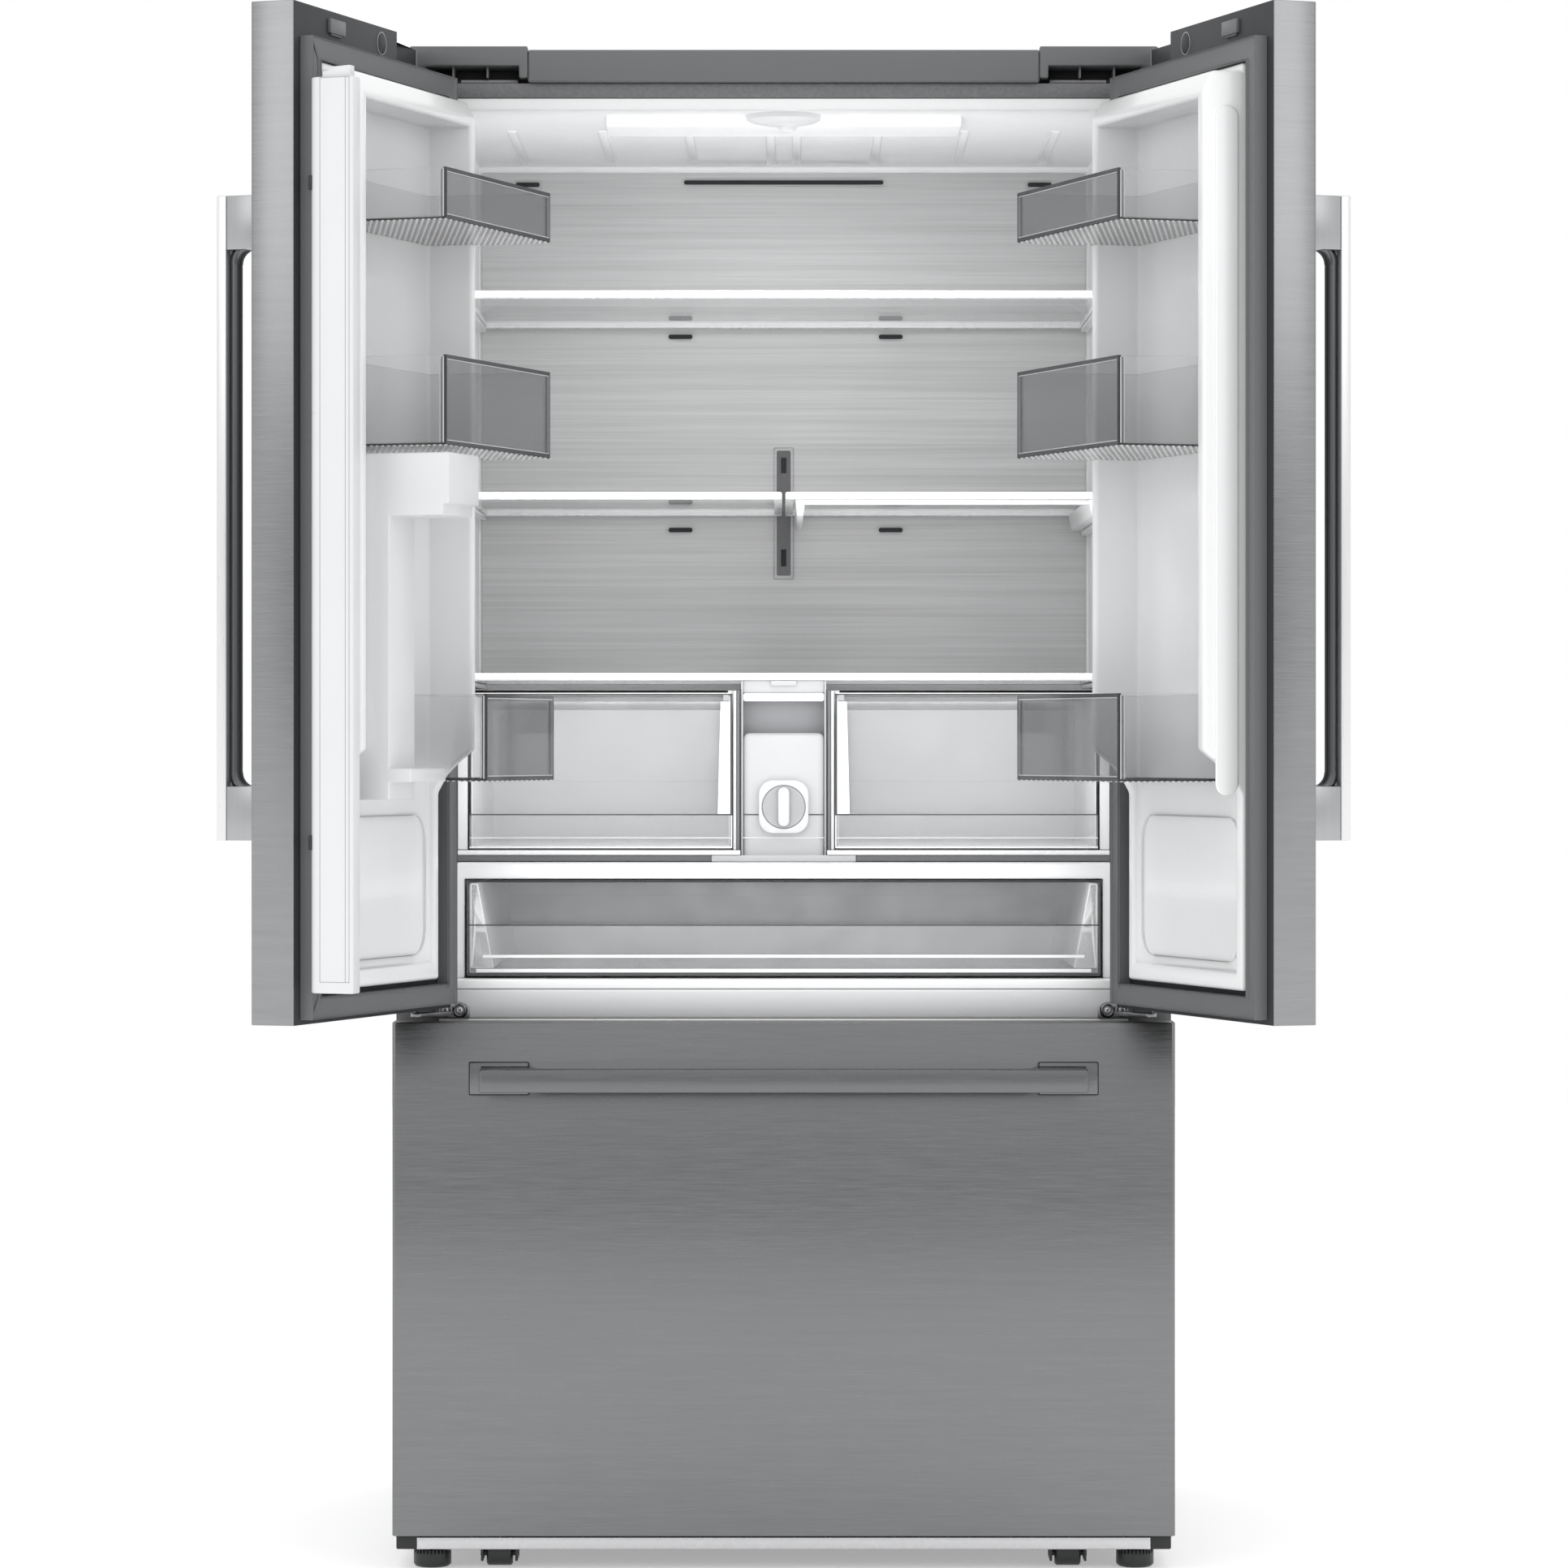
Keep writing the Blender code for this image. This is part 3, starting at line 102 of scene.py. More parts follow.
class Shader:
    """The nodes of one material, ending in a Principled BSDF."""

    def __init__(self, name: str, world: bpy.types.World | None = None) -> None:
        """Starts an empty material, or the empty nodes of a world.

        Args:
            name: the material's name.
            world: the world, if the nodes are a world's.
        """
        self.material = world or bpy.data.materials.new(name)
        self.material.use_nodes = True
        self.tree = self.material.node_tree
        self.tree.nodes.clear()
        if world:
            return
        self.surface = self.tree.nodes.new("ShaderNodeBsdfPrincipled")
        output = self.tree.nodes.new("ShaderNodeOutputMaterial")
        self.tree.links.new(self.surface.outputs[0], output.inputs["Surface"])

    def feed(self, node: Any, sockets: dict[Any, Any]) -> None:
        """Sets or links a node's sockets.

        Args:
            node: the node.
            sockets: what goes in, by socket name or number.
        """
        for key, what in sockets.items():
            if isinstance(what, Value):
                what = what.socket
            if isinstance(what, bpy.types.NodeSocket):
                self.tree.links.new(what, node.inputs[key])
            else:
                node.inputs[key].default_value = what

    def node(self, kind: str, settings: dict[str, Any] | None = None,
             sockets: dict[Any, Any] | None = None) -> Any:
        """Adds a node.

        Args:
            kind: the node's type.
            settings: its properties, with "stops" for a colour ramp.
            sockets: values or links of its inputs.

        Returns:
            The node.
        """
        made = self.tree.nodes.new(kind)
        for key, what in (settings or {}).items():
            if key == "stops":
                ramp = made.color_ramp
                while len(ramp.elements) < len(what):
                    ramp.elements.new(0.5)
                for element, (place, colour) in zip(ramp.elements, what):
                    element.position, element.color = place, (*colour, 1.0)
            else:
                setattr(made, key, what)
        self.feed(made, sockets or {})
        return made

    def place(self, stretch: Sequence[float] = (1, 1, 1), turn: Sequence[float] = (0, 0, 0)) -> Any:
        """Object coordinates, turned and then stretched.

        Args:
            stretch: scale along each axis.
            turn: angles about each axis, in radians.

        Returns:
            The vector socket.
        """
        source = self.node("ShaderNodeTexCoord").outputs["Object"]
        if any(turn):
            source = self.node("ShaderNodeMapping", {"vector_type": "POINT"},
                               {"Vector": source, "Rotation": turn}).outputs[0]
        return self.node("ShaderNodeMapping", {"vector_type": "POINT"},
                         {"Vector": source, "Scale": stretch}).outputs[0]

    def noise(self, stretch: Sequence[float] | float, detail: float = 3.0,
              roughness: float = 0.55) -> Value:
        """Noise on object coordinates.

        Args:
            stretch: features for each metre, along each axis or along all.
            detail: octaves.
            roughness: how much the finer octaves count.

        Returns:
            A value about 0.5.
        """
        each = (stretch,) * 3 if isinstance(stretch, (int, float)) else stretch
        made = self.node("ShaderNodeTexNoise", {}, {"Vector": self.place(each), "Scale": 1.0,
                                                   "Detail": detail, "Roughness": roughness})
        return Value(self, made.outputs["Fac"])

    def ramp(self, value: Value, stops: list[tuple[float, Colour]]) -> Any:
        """A colour ramp on a value.

        Args:
            value: where to read the ramp.
            stops: place and colour of each stop.

        Returns:
            The colour socket.
        """
        return self.node("ShaderNodeValToRGB", {"stops": stops}, {"Fac": value}).outputs["Color"]

    def mix(self, factor: Any, first: Any, second: Any) -> Any:
        """A mix of two colours.

        Args:
            factor: 0 for the first and 1 for the second.
            first: a colour or its socket.
            second: a colour or its socket.

        Returns:
            The colour socket.
        """
        made = self.node("ShaderNodeMix", {"data_type": "RGBA"})
        self.feed(made, {0: factor, 6: _rgba(first), 7: _rgba(second)})
        return made.outputs[2]

    def shade(self, colour: Colour, value: Value, contrast: float) -> Any:
        """A colour that varies with a value about 0.5.

        Args:
            colour: the colour where the value is 0.5.
            value: what it varies with.
            contrast: the change of brightness for a whole step of the value.

        Returns:
            The colour socket.
        """
        low = tuple(max(c * (1 - contrast / 2), 0.0) for c in colour)
        high = tuple(min(c * (1 + contrast / 2), 1.0) for c in colour)
        return self.mix(value, low, high)

    def bump(self, height: Value, strength: float, depth: float) -> Any:
        """A Bump node.

        Args:
            height: the relief, from 0 to 1.
            strength: how much it shows.
            depth: the relief's height, in metres.

        Returns:
            The normal socket.
        """
        return self.node("ShaderNodeBump", {}, {"Height": height, "Strength": strength,
                                                "Distance": depth}).outputs[0]


def _rgba(colour: Any) -> Any:
    """The colour with an alpha of 1, or the socket unchanged."""
    return colour if isinstance(colour, (bpy.types.NodeSocket, Value)) else (*colour, 1.0)


# ---- finishes ---------------------------------------------------------------------------------
@dataclass(frozen=True)
class Finish:
    """What every finish has: its name, the record's slot and its base colour."""

    name: str
    slot: str
    colour: Colour
    roughness: float

    def material(self) -> bpy.types.Material:
        """The finish as a material, made the first time that it is asked for."""
        found = bpy.data.materials.get(self.name)
        if found:
            return found
        shader = Shader(self.name)
        shader.feed(shader.surface, {"Base Color": (*self.colour, 1.0), "Roughness": self.roughness})
        self.lay(shader)
        return shader.material

    def lay(self, shader: Shader) -> None:
        """Adds the finish's own detail to the shader."""
        raise NotImplementedError(self.name)


@dataclass(frozen=True)
class BrushedMetal(Finish):
    """Metal with a directional grain."""

    grain: tuple[float, float, float] = (22.0, 22.0, 900.0)
    contrast: float = 0.34
    metallic: float = 1.0

    def lay(self, shader: Shader) -> None:
        """Fine streaks, broader bands and slow clouds along the grain."""
        fine = shader.noise(self.grain, 4.0, 0.62)
        broad = shader.noise(tuple(g / 4.5 for g in self.grain), 2.0, 0.5)
        cloud = shader.noise(2.2, 2.0)
        look = fine * 0.62 + broad * 0.26 + cloud * 0.12
        shader.feed(shader.surface, {
            "Base Color": shader.shade(self.colour, look, self.contrast),
            "Metallic": self.metallic,
            "Roughness": self.roughness + (fine - 0.5) * 0.16,
            "Normal": shader.bump(fine, 0.10, 0.0002)})


@dataclass(frozen=True)
class PlatedMetal(Finish):
    """Bright plated steel with faint wear."""

    def lay(self, shader: Shader) -> None:
        """Small mottles in colour and gloss."""
        spot = shader.noise(260, 3.0)
        shader.feed(shader.surface, {
            "Base Color": shader.shade(self.colour, spot, 0.25), "Metallic": 1.0,
            "Roughness": self.roughness + (spot - 0.5) * 0.2, "Normal": shader.bump(spot, 0.08, 0.0002)})


@dataclass(frozen=True)
class Moulded(Finish):
    """Moulded plastic: even, with a fine orange-peel surface."""

    peel: float = 380.0
    relief: float = 0.04
    coat: float = 0.0

    def lay(self, shader: Shader) -> None:
        """Slow flow shade, and the skin's fine relief."""
        flow = shader.noise((5.0, 5.0, 9.0), 2.0)
        skin = shader.noise(self.peel, 2.0)
        shader.feed(shader.surface, {
            "Base Color": shader.shade(self.colour, flow * 0.7 + skin * 0.3, 0.05),
            "Roughness": self.roughness + (skin - 0.5) * 0.08 + (flow - 0.5) * 0.06,
            "Coat Weight": self.coat, "Normal": shader.bump(skin, self.relief, 0.0003)})


@dataclass(frozen=True)
class TexturedPaint(Finish):
    """Dark paint or vinyl with a leather-like grain."""

    scale: float = 260.0
    relief: float = 0.55
    metallic: float = 0.0

    def lay(self, shader: Shader) -> None:
        """Cells broken by noise, which lift the surface and lighten its crests."""
        cells = shader.node("ShaderNodeTexVoronoi", {"feature": "SMOOTH_F1"},
                            {"Vector": shader.place((self.scale,) * 3), "Scale": 1.0})
        crumple = shader.noise(self.scale * 0.7, 4.0)
        height = Value(shader, cells.outputs["Distance"]) * 0.7 + crumple * 0.5
        shader.feed(shader.surface, {
            "Base Color": shader.shade(self.colour, height, 0.45), "Metallic": self.metallic,
            "Roughness": self.roughness + (crumple - 0.5) * 0.2,
            "Normal": shader.bump(height, self.relief, 0.0006)})


@dataclass(frozen=True)
class Clear(Finish):
    """Clear plastic or glass, seen through by its alpha."""

    alpha: float = 0.3
    ripple: float = 26.0
    rib_pitch: float = 0.0
    rib_turn: float = 0.0
    veil: float = 0.06
    facing: float = 0.0

    def lay(self, shader: Shader) -> None:
        """Faint ripples in thickness and, where there are any, slanting ribs whose grooves are darkened as
        painted shade.
        """
        ripple = shader.noise(self.ripple, 2.0)
        alpha = self.alpha + (ripple - 0.5) * self.veil
        if self.facing:
            slant = shader.node("ShaderNodeLayerWeight", {}, {"Blend": 0.35}).outputs["Facing"]
            alpha = alpha + Value(shader, slant) * self.facing
        colour = shader.shade(self.colour, ripple, 0.10)
        height = ripple * 0.3
        if self.rib_pitch:
            wave = shader.node("ShaderNodeTexWave", {"wave_type": "BANDS", "bands_direction": "X"},
                               {"Vector": shader.place((1, 1, 1), (0, 0, radians(self.rib_turn))),
                                "Scale": pi / 10 / self.rib_pitch, "Distortion": 0.0})
            ribs = Value(shader, wave.outputs["Fac"]) ** 1.6
            # The grooves between the ribs are darkened as painted shade.
            colour = shader.mix(ribs, tuple(c * 0.14 for c in self.colour), self.colour)
            height = ribs
        shader.feed(shader.surface, {
            "Base Color": colour, "Alpha": alpha, "IOR": 1.46,
            "Normal": shader.bump(height, 0.10, 0.0008)})


@dataclass(frozen=True)
class Lamp(Finish):
    """A lit diffuser with fine prism rows."""

    glow: float = 1.2

    def lay(self, shader: Shader) -> None:
        """Prism rows over the glow."""
        wave = shader.node("ShaderNodeTexWave", {"wave_type": "BANDS", "bands_direction": "X"},
                           {"Vector": shader.place((160.0,) * 3), "Scale": 1.0})
        rows = Value(shader, wave.outputs["Fac"])
        shader.feed(shader.surface, {
            "Base Color": shader.shade(self.colour, rows, 0.08),
            "Emission Color": shader.shade((1.0, 1.0, 1.0), rows, 0.10),
            "Emission Strength": self.glow, "Normal": shader.bump(rows, 0.1, 0.0004)})


@dataclass(frozen=True)
class Foam(Finish):
    """Rigid foam with open cells."""

    def lay(self, shader: Shader) -> None:
        """Cells in colour and relief."""
        cell = shader.noise(420, 4.0)
        shader.feed(shader.surface, {"Base Color": shader.shade(self.colour, cell, 0.3),
                                     "Normal": shader.bump(cell, 0.5, 0.001)})


FRONT_STEEL = BrushedMetal("front steel, brushed across", "stainless", (0.285, 0.289, 0.294), 0.25,
                           (20.0, 20.0, 620.0), 0.46)
# The drawer front is the doors' steel; this darker copy is painted shade.
SHADED_DRAWER_STEEL = BrushedMetal("drawer front steel, brushed across", "stainless", (0.215, 0.218, 0.223), 0.25,
                            (20.0, 20.0, 620.0), 0.46)
# The handle's front plate: a lighter copy of the handle steel, as painted highlight.
LIT_PLATE_STEEL = BrushedMetal("handle steel, brushed along Z", "stainless", (0.74, 0.745, 0.75), 0.30,
                             (800.0, 800.0, 16.0), 0.20, 0.72)
# The handle's posts and rod: darker copies of the same steel, as painted shade; the rod's also stands for a
# dark reflection.
SHADED_POST_STEEL = BrushedMetal("handle post steel, darkened as painted shade", "stainless", (0.40, 0.405, 0.41), 0.32,
                          (800.0, 800.0, 16.0), 0.20)
SHADED_ROD_STEEL = BrushedMetal("handle rod steel, darkened as painted shade and reflection", "stainless", (0.135, 0.138, 0.143), 0.22,
                         (800.0, 800.0, 16.0), 0.30)
# The drawer bar: a darker copy of the handle steel, as painted shade.
SHADED_BAR_STEEL = BrushedMetal("handle steel, brushed along X", "stainless", (0.18, 0.183, 0.187), 0.26,
                           (16.0, 800.0, 800.0), 0.40)
COOLING_METAL = BrushedMetal("cooling plate metal", "cooling_metal", (0.60, 0.60, 0.60), 0.42,
                             (3.0, 3.0, 300.0), 0.80, 0.20)
CASE_PAINT = TexturedPaint("case paint", "case_paint", (0.115, 0.117, 0.121), 0.48, 700.0, 0.10)
FLANGE_GRAIN = TexturedPaint("grained flange", "case_paint", (0.165, 0.168, 0.173), 0.42, 240.0, 0.9)
DARK_PLASTIC = Moulded("dark grey plastic", "dark_plastic", (0.152, 0.155, 0.160), 0.42)
CAP_PLASTIC = Moulded("door cap plastic", "dark_plastic", (0.024, 0.026, 0.029), 0.55)
# Near black for the inside of hood mouths, slots and holes: painted shade.
HOLLOW_SHADE = Moulded("near black, painted shade in hollows", "dark_plastic", (0.015, 0.016, 0.018), 0.5)
# A dark grey that stands for the shade in the gaps round the crispers: painted shade.
SHADE_PLASTIC = Moulded("painted shade in gaps", "dark_plastic", (0.16, 0.163, 0.168), 0.5)
WHITE_PLASTIC = Moulded("white plastic", "white_plastic", (0.92, 0.925, 0.93), 0.22, 90.0, 0.03, 0.15)
BRIGHT_PLASTIC = Moulded("bright white plastic", "white_plastic", (0.75, 0.755, 0.765), 0.30, 120.0)
# The housing is white plastic; this darker copy is painted shade under the crisper cover.
SHADED_HOUSING_WHITE = Moulded("filter housing white, darkened as painted shade", "white_plastic", (0.53, 0.535, 0.545), 0.34, 120.0)
# The recess's back is white plastic darkened to grey: painted shade.
RECESS_SHADE = Moulded("filter housing recess, darkened as painted shade", "white_plastic", (0.285, 0.29, 0.30), 0.40, 120.0)
RIM_WHITE = Moulded("shelf rim white", "white_plastic", (0.86, 0.86, 0.865), 0.28, 120.0)
# The cap's dish is white plastic too; its grey is painted shade in the recess.
SHADED_DISH_WHITE = Moulded("filter cap dish, darkened as painted shade", "white_plastic", (0.42, 0.425, 0.435), 0.34, 120.0)
HANDLE_WHITE = Moulded("filter grip white", "white_plastic", (0.64, 0.645, 0.655), 0.30, 120.0)
SEAM_GREY = Moulded("white plastic seam", "white_plastic", (0.40, 0.41, 0.42), 0.5)
GASKET_GREY = Moulded("gasket grey", "gasket", (0.145, 0.148, 0.153), 0.46, 500.0, 0.08)
BLACK_PLASTIC = Moulded("black plastic", "black_plastic", (0.018, 0.019, 0.020), 0.38, 300.0, 0.08)
SMOKED = Clear("smoked clear plastic", "clear_plastic", (0.42, 0.425, 0.435), 0.06, alpha=0.09,
               facing=0.08, veil=0.02)
SMOKED_FRONT = Clear("smoked front pane", "clear_plastic", (0.155, 0.158, 0.163), 0.06, alpha=0.38,
                     veil=0.02)
# The dark grooves between these ribs are painted shade.
LEFT_RIBS, RIGHT_RIBS = (
    Clear(f"ribbed base of the {side} bins", "clear_plastic", (0.85, 0.855, 0.865), 0.16, alpha=0.90,
          rib_pitch=0.0062, rib_turn=turn) for side, turn in (("left", -5.7), ("right", 5.7)))
SMOKED_RIM = Clear("smoked rim", "clear_plastic", (0.050, 0.052, 0.056), 0.10, alpha=0.90)
# Pale lines on the bins' smoked rims: painted highlights.
SMOKED_GLINT = Clear("painted highlight lines in the smoked rim", "clear_plastic", (0.62, 0.62, 0.63), 0.08, alpha=0.85)
FROSTED = Clear("clear drawer plastic", "clear_plastic", (0.80, 0.81, 0.82), 0.08, alpha=0.12, facing=0.2)
FROSTED_RIM = Clear("clear drawer edge", "clear_plastic", (0.10, 0.104, 0.108), 0.12, alpha=0.80)
MILKY = Clear("milky drawer plastic", "clear_plastic", (0.92, 0.925, 0.93), 0.20, alpha=0.94, ripple=6.0)
LIP_CLEAR = Clear("clear drawer lip", "clear_plastic", (0.66, 0.665, 0.675), 0.12, alpha=0.16)
BAND_GREY = Clear("shaded drawer band", "clear_plastic", (0.40, 0.405, 0.415), 0.20, alpha=0.92)
# The pantry's lining is grey: painted shade inside the drawer.
PANTRY_SHADE = Clear("pantry lining, grey as painted shade", "clear_plastic", (0.42, 0.425, 0.435), 0.2, alpha=0.82)
SHELF_GLASS = Clear("shelf glass", "shelf_glass", (0.36, 0.375, 0.38), 0.04, alpha=0.16, ripple=4.0,
                    veil=0.02, facing=0.16)
PLATED = PlatedMetal("plated steel", "plated_steel", (0.62, 0.62, 0.63), 0.24)
HINGE_STEEL = PlatedMetal("middle hinge steel", "plated_steel", (0.30, 0.30, 0.31), 0.34)
DARK_STEEL = PlatedMetal("dark plated steel", "plated_steel", (0.20, 0.20, 0.21), 0.34)
LAMP = Lamp("lit diffuser", "white_plastic", (0.80, 0.81, 0.82), 0.4, glow=0.10)
FOAM = Foam("insulating foam", "foam", (0.62, 0.55, 0.34), 0.8)
ENAMEL = Moulded("compressor enamel", "compressor_paint", (0.012, 0.012, 0.013), 0.22, 200.0, 0.1, 0.4)


# ---- shapes -----------------------------------------------------------------------------------
class Along(Enum):
    """The axis that an outline is drawn out along."""

    X = 0
    Y = 1
    Z = 2

    def point(self, a: float, b: float, t: float) -> Vector:
        """The point of an outline's (a, b) at the distance t along the axis."""
        return Vector({Along.X: (t, a, b), Along.Y: (a, t, b), Along.Z: (a, b, t)}[self])

    @property
    def vector(self) -> Vector:
        """The axis as a unit vector."""
        return self.point(0, 0, 1)


@dataclass(frozen=True)
class Extent:
    """The space between two corners, in metres."""

    low: Vector
    high: Vector

    @classmethod
    def of(cls, node: str, turned: Matrix | None = None) -> "Extent":
        """The extent of a CAD node.

        Args:
            node: the node's name.
            turned: a matrix put on its points first.

        Returns:
            Its extent.
        """
        matrix = turned or Matrix.Identity(4)
        points = [matrix @ v.co for v in frame["nodes"][node].data.vertices]
        return cls(Vector(min(p[i] for p in points) for i in range(3)),
                   Vector(max(p[i] for p in points) for i in range(3)))


def rounded(a0: float, b0: float, a1: float, b1: float, radius: float, steps: int = 4) -> Outline:
    """A rectangle with round corners.

    Args:
        a0: the lower first coordinate.
        b0: the lower second coordinate.
        a1: the higher first coordinate.
        b1: the higher second coordinate.
        radius: of its corners.
        steps: segments in each corner.

    Returns:
        Its points, anticlockwise.
    """
    corners = ((a1 - radius, b0 + radius, -90), (a1 - radius, b1 - radius, 0),
               (a0 + radius, b1 - radius, 90), (a0 + radius, b0 + radius, 180))
    turns = [(a, b, radians(start + 90 * i / steps)) for a, b, start in corners for i in range(steps + 1)]
    return [(a + radius * cos(turn), b + radius * sin(turn)) for a, b, turn in turns]


def merged(node: str, turned: Matrix | None = None) -> bmesh.types.BMesh:
    """A CAD node's mesh, with its doubled points and its flat seams merged.

    Args:
        node: the node's name.
        turned: a matrix put on its points first.

    Returns:
        The new mesh.
    """
    part = bmesh.new()
    part.from_mesh(frame["nodes"][node].data)
    part.transform(turned or Matrix.Identity(4))
    bmesh.ops.remove_doubles(part, verts=part.verts[:], dist=2e-6)
    bmesh.ops.dissolve_limit(part, angle_limit=radians(1.0), verts=part.verts[:], edges=part.edges[:])
    return part


class Shape:
    """A mesh in the making, out of softened parts."""

    def __init__(self, matrix: Matrix | None = None) -> None:
        """Starts empty; the matrix is put on every part as it is added."""
        self.bm = bmesh.new()
        self.matrix = matrix or Matrix.Identity(4)

    def absorb(self, part: bmesh.types.BMesh) -> "Shape":
        """Adds a part and frees it.

        Args:
            part: the part.

        Returns:
            The shape.
        """
        part.transform(self.matrix)
        bmesh.ops.recalc_face_normals(part, faces=part.faces[:])
        mesh = bpy.data.meshes.new("part")
        part.to_mesh(mesh)
        part.free()
        self.bm.from_mesh(mesh)
        bpy.data.meshes.remove(mesh)
        return self

    @staticmethod
    def draw_out(part: bmesh.types.BMesh, faces: list[Any], way: Vector) -> None:
        """Makes a solid of flat faces.

        Args:
            part: the part that holds them.
            faces: the faces.
            way: how far they are drawn out, and which way.
        """
        moved = bmesh.ops.extrude_face_region(part, geom=faces)["geom"]
        bmesh.ops.translate(part, verts=[v for v in moved if isinstance(v, bmesh.types.BMVert)], vec=way)

    @staticmethod
    def soften(part: bmesh.types.BMesh, width: float, segments: int = 2, angle: float = 25.0,
               only: Any = None) -> None:
        """Rounds a part's edges.

        Args:
            part: the part.
            width: of the rounding.
            segments: across it.
            angle: only edges that turn more than this, in degrees.
            only: a test that an edge must pass.
        """
        if width <= 0:
            return
        edges = [e for e in part.edges if e.is_manifold and e.calc_face_angle(0.0) > radians(angle)
                 and (only is None or only(e))]
        bmesh.ops.bevel(part, geom=edges, offset=width, offset_type="OFFSET", segments=segments,
                        profile=0.5, affect="EDGES", material=-1, clamp_overlap=True)

    def block(self, low: Sequence[float], high: Sequence[float], soft: float = 0.001,
              segments: int = 2) -> "Shape":
        """Adds a softened block.

        Args:
            low: its lowest corner.
            high: its highest corner.
            soft: width of its edges' rounding.
            segments: across the rounding.

        Returns:
            The shape.
        """
        part = bmesh.new()
        a, b = Vector(map(min, low, high)), Vector(map(max, low, high))
        place = Matrix.Translation((a + b) / 2) @ Matrix.Diagonal((*(b - a), 1.0))
        bmesh.ops.create_cube(part, size=1.0, matrix=place)
        self.soften(part, min(soft, min(b - a) * 0.45), segments)
        return self.absorb(part)

    def prism(self, outline: Outline, along: Along, low: float, high: float, soft: float = 0.0,
              segments: int = 2, angle: float = 25.0) -> "Shape":
        """Adds an outline drawn out along an axis.

        Args:
            outline: its points.
            along: the axis.
            low: where it starts.
            high: where it ends.
            soft: width of its edges' rounding.
            segments: across the rounding.
            angle: of the least edge that is rounded.

        Returns:
            The shape.
        """
        part = bmesh.new()
        face = part.faces.new([part.verts.new(along.point(a, b, low)) for a, b in outline])
        self.draw_out(part, [face], along.vector * (high - low))
        self.soften(part, soft, segments, angle)
        return self.absorb(part)

    def ring(self, outline: Outline, along: Along, low: float, high: float, wall: float,
             soft: float = 0.0) -> "Shape":
        """Adds an upright wall that follows a closed outline.

        Args:
            outline: the wall's outer line.
            along: the axis that it stands along.
            low: its foot.
            high: its top.
            wall: its thickness, inwards.
            soft: width of its edges' rounding.

        Returns:
            The shape.
        """
        part = bmesh.new()
        face = part.faces.new([part.verts.new(along.point(a, b, low)) for a, b in outline])
        rim = bmesh.ops.inset_region(part, faces=[face], thickness=wall, depth=0.0,
                                     use_boundary=True, use_even_offset=True)["faces"]
        bmesh.ops.delete(part, geom=[face], context="FACES_ONLY")
        self.draw_out(part, rim, along.vector * (high - low))
        self.soften(part, soft, 2, 50.0)
        return self.absorb(part)

    def frame(self, outer: Outline, inner: Outline, along: Along, low: float, high: float,
              soft: float = 0.0) -> "Shape":
        """Adds a plate with a hole, between two outlines.

        Args:
            outer: its outer line.
            inner: the line of the hole.
            along: the axis that it is drawn out along.
            low: where it starts.
            high: where it ends.
            soft: width of the rounding of its edges at low.

        Returns:
            The shape.
        """
        part = bmesh.new()
        edges = []
        for line in (outer, inner):
            verts = [part.verts.new(along.point(a, b, low)) for a, b in line]
            edges += [part.edges.new(pair) for pair in zip(verts, verts[1:] + verts[:1])]
        faces = bmesh.ops.bridge_loops(part, edges=edges)["faces"]
        self.draw_out(part, faces, along.vector * (high - low))
        axis = along.value
        self.soften(part, soft, 3, 50.0, lambda e: all(abs(v.co[axis] - low) < 1e-6 for v in e.verts))
        return self.absorb(part)

    def elbow(self, start: Sequence[float], centre: Sequence[float], axis: Sequence[float], angle: float,
              radius: float, steps: int = 10) -> "Shape":
        """Adds a round bar bent about an axis.

        Args:
            start: the middle of its first end.
            centre: the centre of the bend.
            axis: the axis of the bend.
            angle: how far it bends, in degrees.
            radius: of the bar.
            steps: segments along the bend.

        Returns:
            The shape.
        """
        part = bmesh.new()
        way = Vector(axis).cross(Vector(start) - Vector(centre)).normalized()
        turn = way.to_track_quat("Z", "X").to_matrix().to_4x4()
        ring = bmesh.ops.create_circle(part, cap_ends=False, radius=radius, segments=24,
                                       matrix=Matrix.Translation(start) @ turn)["verts"]
        edges = list({e for v in ring for e in v.link_edges})
        bmesh.ops.spin(part, geom=ring + edges, cent=Vector(centre), axis=Vector(axis),
                       angle=radians(angle), steps=steps)
        bmesh.ops.holes_fill(part, edges=[e for e in part.edges if e.is_boundary], sides=0)
        return self.absorb(part)

    def turned(self, profile: Outline, centre: Sequence[float], along: Along,
               steps: int = 32) -> "Shape":
        """Adds a body of revolution.

        Args:
            profile: radius and distance along the axis of each point, from axis to axis.
            centre: the point that the distances count from.
            along: the axis.
            steps: segments round it.

        Returns:
            The shape.
        """
        part = bmesh.new()
        side = Vector((0, 1, 0)) if along is Along.X else Vector((1, 0, 0))
        verts = [part.verts.new(Vector(centre) + side * r + along.vector * t) for r, t in profile]
        edges = [part.edges.new(pair) for pair in zip(verts, verts[1:])]
        bmesh.ops.spin(part, geom=verts + edges, cent=Vector(centre), axis=along.vector,
                       angle=2 * pi, steps=steps, use_merge=True)
        bmesh.ops.remove_doubles(part, verts=part.verts[:], dist=1e-6)
        return self.absorb(part)

    def copy(self, node: str, soft: float = 0.0, segments: int = 2, angle: float = 25.0,
             only: Any = None, edit: Any = None) -> "Shape":
        """Adds a CAD node's shape, merged and softened.

        Args:
            node: the node's name.
            soft: width of its edges' rounding.
            segments: across the rounding.
            angle: of the least edge that is rounded.
            only: a test that a rounded edge must pass.
            edit: what is done to the part before it is softened.

        Returns:
            The shape.
        """
        part = merged(node)
        if edit:
            edit(part)
        self.soften(part, soft, segments, angle, only)
        return self.absorb(part)

